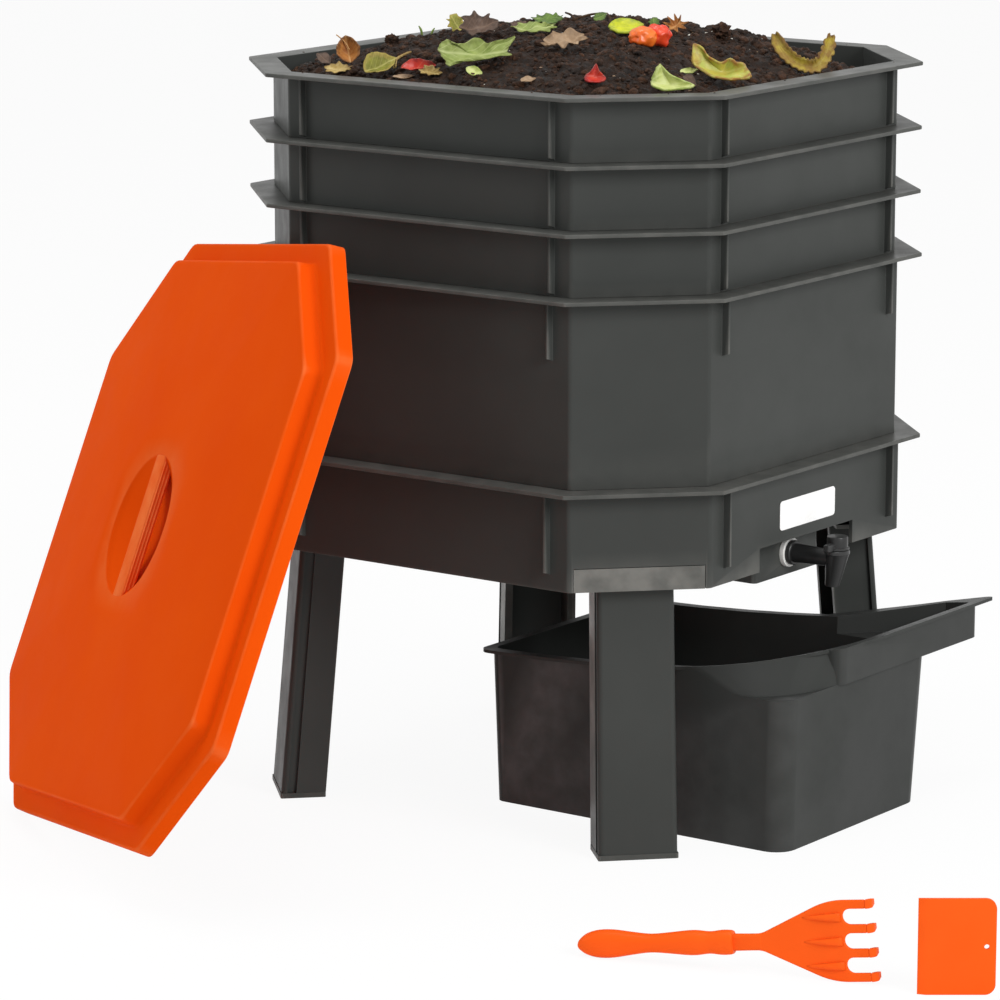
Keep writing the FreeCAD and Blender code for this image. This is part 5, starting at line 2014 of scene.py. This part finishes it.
@dataclass
class KitchenScraps:
    """The leaves, peels, fruit and sticks that lie on the compost."""

    leaves: tuple[Leaf, ...] = (
        Leaf("leaf_cupped_amber", Finish.AMBER, Lie(-141.9, 107.2, 542.3, 70.0), 17.0, 20.0, 100.0,
             Outline.OVAL, 0.5, 0.15),
        Leaf("leaf_thin_brown", Finish.BROWN, Lie(-124.0, 144.0, 537.5, 35.0), 11.0, 9.0, 135.0,
             Outline.SLIVER, 0.1, 0.1),
        Leaf("leaf_yellow_lobed", Finish.STRAW, Lie(-166.5, 97.6, 536.5, 30.0), 20.5, 9.0, 5.0,
             Outline.LOBED, 0.15, 0.05),
        Leaf("leaf_olive_long", Finish.OLIVE, Lie(-164.7, 61.8, 537.5, 40.0), 23.0, 16.0, 30.0,
             Outline.OVAL, 0.2, 0.2),
        Leaf("leaf_red_strip", Finish.RED, Lie(-156.0, 34.0, 540.8, 35.0), 25.0, 8.5, 8.0, Outline.SLIVER,
             0.2, 0.15),
        Leaf("leaf_pale_bit", Finish.STRAW, Lie(-159.6, 20.5, 539.2, 35.0), 17.0, 8.0, -15.0,
             Outline.TORN, 0.2, 0.1),
        Leaf("leaf_tan_flat", Finish.TAN, Lie(-163.6, 41.3, 537.6, 12.0), 15.3, 3.4, 5.0, Outline.SLIVER,
             0.1),
        Leaf("leaf_green_lobed", Finish.GREEN, Lie(-147.7, -10.9, 543.6, 40.0), 54.6, 25.0, 0.0,
             Outline.BROAD, 0.14, 0.05, 0.1),
        Leaf("peel_pale_green_chip", Finish.RIND, Lie(-152.1, -12.0, 542.2, 45.0), 11.7, 7.3, -30.0,
             Outline.SLIVER, 0.2),
        Leaf("leaf_tan_lobed", Finish.TAN, Lie(-97.9, -50.8, 557.2, 30.0), 33.5, 14.8, 186.0,
             Outline.LOBED, 0.2, 0.03, 0.1),
        Leaf("leaf_brown_wide", Finish.BROWN, Lie(-89.0, 30.3, 559.2, 30.0), 28.4, 19.0, 15.0,
             Outline.TORN, 0.2, 0.1, 0.1),
        Leaf("leaf_olive_corner", Finish.OLIVE, Lie(-60.0, 72.0, 560.0, 40.0), 14.0, 14.0, 120.0,
             Outline.TORN, 0.2),
        Leaf("leaf_green_upper", Finish.DARK_GREEN, Lie(-30.0, 12.0, 565.0, 16.0), 23.5, 11.5, 12.0,
             Outline.LOBED, 0.1, 0.0, 0.08),
        Leaf("leaf_green_lower", Finish.GREEN, Lie(-65.5, -1.6, 562.8, 20.0), 33.5, 10.5, 20.0,
             Outline.LOBED, 0.1, 0.0, 0.08),
        Leaf("leaf_brown_behind", Finish.BROWN, Lie(-52.0, 22.0, 563.6, 25.0), 13.0, 8.0, 30.0,
             Outline.TORN, 0.15),
        Leaf("peel_yellow_slice", Finish.YELLOW, Lie(-28.0, -56.0, 562.6, 20.0), 25.5, 12.0, 8.0,
             Outline.OVAL, 0.2, 0.0, 0.04, 1.6),
        Leaf("leaf_dark_small", Finish.DARK_GREEN, Lie(28.0, -42.0, 563.6, 30.0), 9.0, 7.0, 95.0,
             Outline.TORN, 0.2),
        Leaf("leaf_dry_frond", Finish.AMBER, Lie(6.8, -75.5, 560.4, 40.0), 19.0, 15.3, 40.0,
             Outline.FROND, 0.25, 0.1),
        Leaf("leaf_small_olive", Finish.DARK_GREEN, Lie(20.0, 0.0, 565.4, 25.0), 10.0, 7.0, 30.0,
             Outline.SLIVER, 0.15),
        Leaf("peel_half_moon", Finish.RIND, Lie(-116.2, -155.4, 536.0, 55.0), 30.0, 18.4, 0.0,
             Outline.HALF_MOON, 0.3, 0.1, 0.05, 1.2),
        Leaf("peel_curled", Finish.CURL, Lie(-64.6, -161.8, 537.0, 50.0), 41.5, 25.0, 0.0, Outline.CURLED,
             0.3, 0.1, 0.08, 1.4),
        Leaf("leaf_brown_sliver", Finish.BROWN, Lie(-96.8, -156.5, 539.2, 40.0), 9.0, 9.0, -40.0,
             Outline.SLIVER, 0.1, 0.2),
        Leaf("peel_pale_chip", Finish.RIND, Lie(-73.1, -140.2, 544.8, 30.0), 13.0, 4.0, 12.0,
             Outline.SLIVER, 0.2),
        Leaf("peel_red_piece", Finish.RED, Lie(-140.8, -107.4, 541.8, 55.0), 14.8, 13.5, 0.0,
             Outline.WEDGE, 0.3, 0.1, 0.05, 1.0),
        Leaf("leaf_behind_tan", Finish.TAN, Lie(110.0, 60.0, 553.4, -4.0), 26.0, 2.6, 40.0, Outline.LOBED,
             0.12, 0.05),
        Leaf("leaf_behind_green", Finish.GREEN, Lie(60.0, 120.0, 550.2, -4.0), 30.0, 3.0, 120.0,
             Outline.LOBED, 0.12, 0.05),
        Leaf("leaf_behind_olive", Finish.OLIVE, Lie(128.0, 100.0, 543.0, -4.0), 20.0, 2.0, 75.0,
             Outline.OVAL, 0.15, 0.1),
        Leaf("peel_behind", Finish.RIND, Lie(130.0, -30.0, 547.2, -4.0), 24.0, 2.0, 200.0,
             Outline.HALF_MOON, 0.2, 0.0, 0.05, 1.2),
        Leaf("leaf_beige_chip", Finish.TAN, Lie(-154.9, -60.6, 541.0, 25.0), 11.0, 4.2, 8.0,
             Outline.SLIVER, 0.2),
    )
    peels: tuple[Peel, ...] = (
        Peel("peel_bent_straw", Finish.STRAW, Lie(-150.3, 53.1, 542.8, 40.0),
             ((6.5, 12.4, 0.5), (-3.5, 6.0, 1.5), (-5.0, 0.0, 0.0)), 3.0),
        Peel("peel_looped", Finish.DRY_PEEL, Lie(45.7, -159.5, 536.2, 50.0),
             ((-20.0, 27.0, 4.0), (-15.5, 16.5, 3.0), (-7.0, 8.0, 2.0), (1.8, 4.2, 1.0), (10.6, 4.8, 1.0),
             (17.0, 13.5, 3.0), (20.6, 26.0, 4.0)), 9.5, 20.0, 0.3, 1.0, 0.1),
    )
    chunks: tuple[Chunk, ...] = (
        Chunk("clod_by_the_rim", Finish.CLOD, Lie(-82.7, 112.9, 551.0, 90.0), (4.5, 3.4, 4.0), 0.6, 4,
              2.2),
        Chunk("clod_at_the_back", Finish.CLOD, Lie(46.5, -88.5, 557.4, 90.0), (6.2, 5.0, 5.5), 0.6, 4,
              2.2),
        Chunk("tomato_left_lobe", Finish.TOMATO_PALE, Lie(-48.0, -84.0, 558.4, 80.0), (10.4, 7.4, 8.0),
              0.2),
        Chunk("tomato_right_wedge", Finish.TOMATO, Lie(-36.0, -89.0, 558.6, 80.0), (9.4, 8.2, 7.0), 0.25),
    )
    twigs: tuple[Twig, ...] = (
        Twig("twig_left", Finish.BARK, ((27.0, 36.0, 568.8, 0.7), (24.5, 29.0, 567.6, 0.9),
             (20.0, 22.0, 564.0, 0.9))),
        Twig("twig_crossing", Finish.BARK, ((20.0, 23.0, 565.4, 0.8), (28.0, 16.0, 568.2, 0.9),
             (33.0, 9.0, 569.6, 0.6))),
        Twig("twig_right", Finish.BARK, ((37.0, 6.0, 569.4, 0.6), (31.8, 0.0, 567.2, 0.9),
             (24.0, -6.0, 564.2, 0.9))),
        Twig("sprout_left", Finish.DARK_GREEN, ((-66.3, 97.9, 556.0, 0.7), (-66.8, 98.4, 560.0, 0.9),
             (-68.0, 99.6, 563.2, 0.4))),
        Twig("sprout_right", Finish.DARK_GREEN, ((-62.5, 92.5, 556.0, 0.6), (-62.0, 91.8, 559.0, 0.8),
             (-60.8, 90.6, 561.6, 0.4))),
        Twig("stalk_of_amber_leaf", Finish.AMBER, ((-141.0, 107.0, 552.0, 0.5),
             (-143.0, 110.5, 558.0, 0.5), (-146.0, 115.0, 562.5, 0.4))),
    )

    def build(self, shop: Workshop) -> None:
        """Make every scrap."""
        for scrap in (*self.leaves, *self.peels, *self.chunks, *self.twigs):
            scrap.build(shop)


@dataclass(frozen=True)
class Lamp:
    """A square soft lamp: where it hangs, the point that it faces, its side and its power in watts."""

    name: str
    place: Point
    aim: Point
    side: float
    power: float

    def hang(self) -> None:
        """Hang the lamp."""
        data = bpy.data.lights.new(self.name, "AREA")
        data.size = self.side
        data.energy = self.power
        made = bpy.data.objects.new(self.name, data)
        made.location = self.place
        made.rotation_euler = (Vector(self.aim) - Vector(self.place)).to_track_quat("-Z", "Y").to_euler()
        bpy.context.scene.collection.objects.link(made)


@dataclass
class Studio:
    """The camera at the photograph's angle, soft lamps, a pale floor and a white surround."""

    eye: Point = (-2.81446, -1.96707, 0.91886)
    lens: float = 170.1
    floor_half: float = 60.0
    surround: float = 0.42
    floor_paint: float = 0.95
    floor_glow: float = 0.93
    lamps: tuple[Lamp, ...] = (
        Lamp("key_lamp", (-0.7, -2.8, 1.7), (0.0, 0.0, 0.25), 1.2, 60.0),
        Lamp("top_lamp", (-0.4, 0.0, 3.4), (0.0, 0.0, 0.4), 1.6, 40.0),
        Lamp("lid_lamp", (-2.2, 2.2, 1.9), (-0.3, 0.1, 0.25), 1.4, 21.0),
    )

    def camera(self) -> None:
        """Set up the camera."""
        data = bpy.data.cameras.new("photo_camera")
        data.lens = self.lens
        data.sensor_width = 36.0
        data.clip_end = 200.0
        made = bpy.data.objects.new("photo_camera", data)
        made.location = self.eye
        made.rotation_euler = (math.radians(90.0 - PICTURE_ELEVATION), 0.0, math.radians(PICTURE_AZIMUTH))
        bpy.context.scene.collection.objects.link(made)
        bpy.context.scene.camera = made

    def seen(self, tree: bpy.types.NodeTree) -> Socket:
        """One for rays that come straight from the camera or by way of gloss or glass.

        Args:
            tree: The node tree that asks.

        Returns:
            The socket.
        """
        path = tree.nodes.new("ShaderNodeLightPath")
        found = path.outputs["Is Camera Ray"]
        for ray in ("Is Glossy Ray", "Is Transmission Ray"):
            either = tree.nodes.new("ShaderNodeMath")
            either.operation = "MAXIMUM"
            tree.links.new(found, either.inputs[0])
            tree.links.new(path.outputs[ray], either.inputs[1])
            found = either.outputs[0]
        return found

    def world(self) -> None:
        """Give the surround its plain light and its white look."""
        world = bpy.data.worlds.new("studio_surround")
        world.use_nodes = True
        tree = world.node_tree
        shade = tree.nodes["Background"]
        shade.inputs[0].default_value = (1.0, 1.0, 1.0, 1.0)
        level = tree.nodes.new("ShaderNodeMapRange")
        tree.links.new(self.seen(tree), level.inputs["Value"])
        level.inputs["To Min"].default_value = self.surround
        level.inputs["To Max"].default_value = 1.0
        tree.links.new(level.outputs[0], shade.inputs[1])
        bpy.context.scene.world = world

    def floor(self) -> None:
        """Lay the pale floor, which looks white and keeps a soft shadow."""
        mesh = bmesh.new()
        bmesh.ops.create_grid(mesh, x_segments=1, y_segments=1, size=self.floor_half)
        data = bpy.data.meshes.new("studio_floor")
        mesh.to_mesh(data)
        mesh.free()
        material = bpy.data.materials.new("studio_floor_look")
        material.use_nodes = True
        tree = material.node_tree
        tree.nodes.clear()
        output = tree.nodes.new("ShaderNodeOutputMaterial")
        paint = tree.nodes.new("ShaderNodeBsdfDiffuse")
        paint.inputs[0].default_value = (self.floor_paint, self.floor_paint, self.floor_paint, 1.0)
        glow = tree.nodes.new("ShaderNodeEmission")
        glow.inputs[0].default_value = (1.0, 1.0, 1.0, 1.0)
        blend = tree.nodes.new("ShaderNodeMixShader")
        share = tree.nodes.new("ShaderNodeMath")
        share.operation = "MULTIPLY"
        share.inputs[1].default_value = self.floor_glow
        tree.links.new(self.seen(tree), share.inputs[0])
        tree.links.new(share.outputs[0], blend.inputs[0])
        tree.links.new(paint.outputs[0], blend.inputs[1])
        tree.links.new(glow.outputs[0], blend.inputs[2])
        tree.links.new(blend.outputs[0], output.inputs[0])
        data.materials.append(material)
        made = bpy.data.objects.new("studio_floor", data)
        bpy.context.scene.collection.objects.link(made)

    def build(self) -> None:
        """Set up the whole studio."""
        bpy.context.scene.view_settings.view_transform = "Standard"
        self.camera()
        self.world()
        self.floor()
        for lamp in self.lamps:
            lamp.hang()


def main() -> None:
    """Build the studio and every piece."""
    logging.basicConfig(level=logging.INFO, format="%(name)s: %(message)s")
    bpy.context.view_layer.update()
    Studio().build()
    shop = Workshop()
    assemblies = (Stand(), Stack(), CompostHeap(), KitchenScraps(),
                  Lid(), CatchTub(), HandRake(), ScraperCard())
    for assembly in assemblies:
        assembly.build(shop)
        log.info("%s is done", type(assembly).__name__)
    log.info("%d pieces made", len(shop.made))


if __name__ == "__main__":
    main()
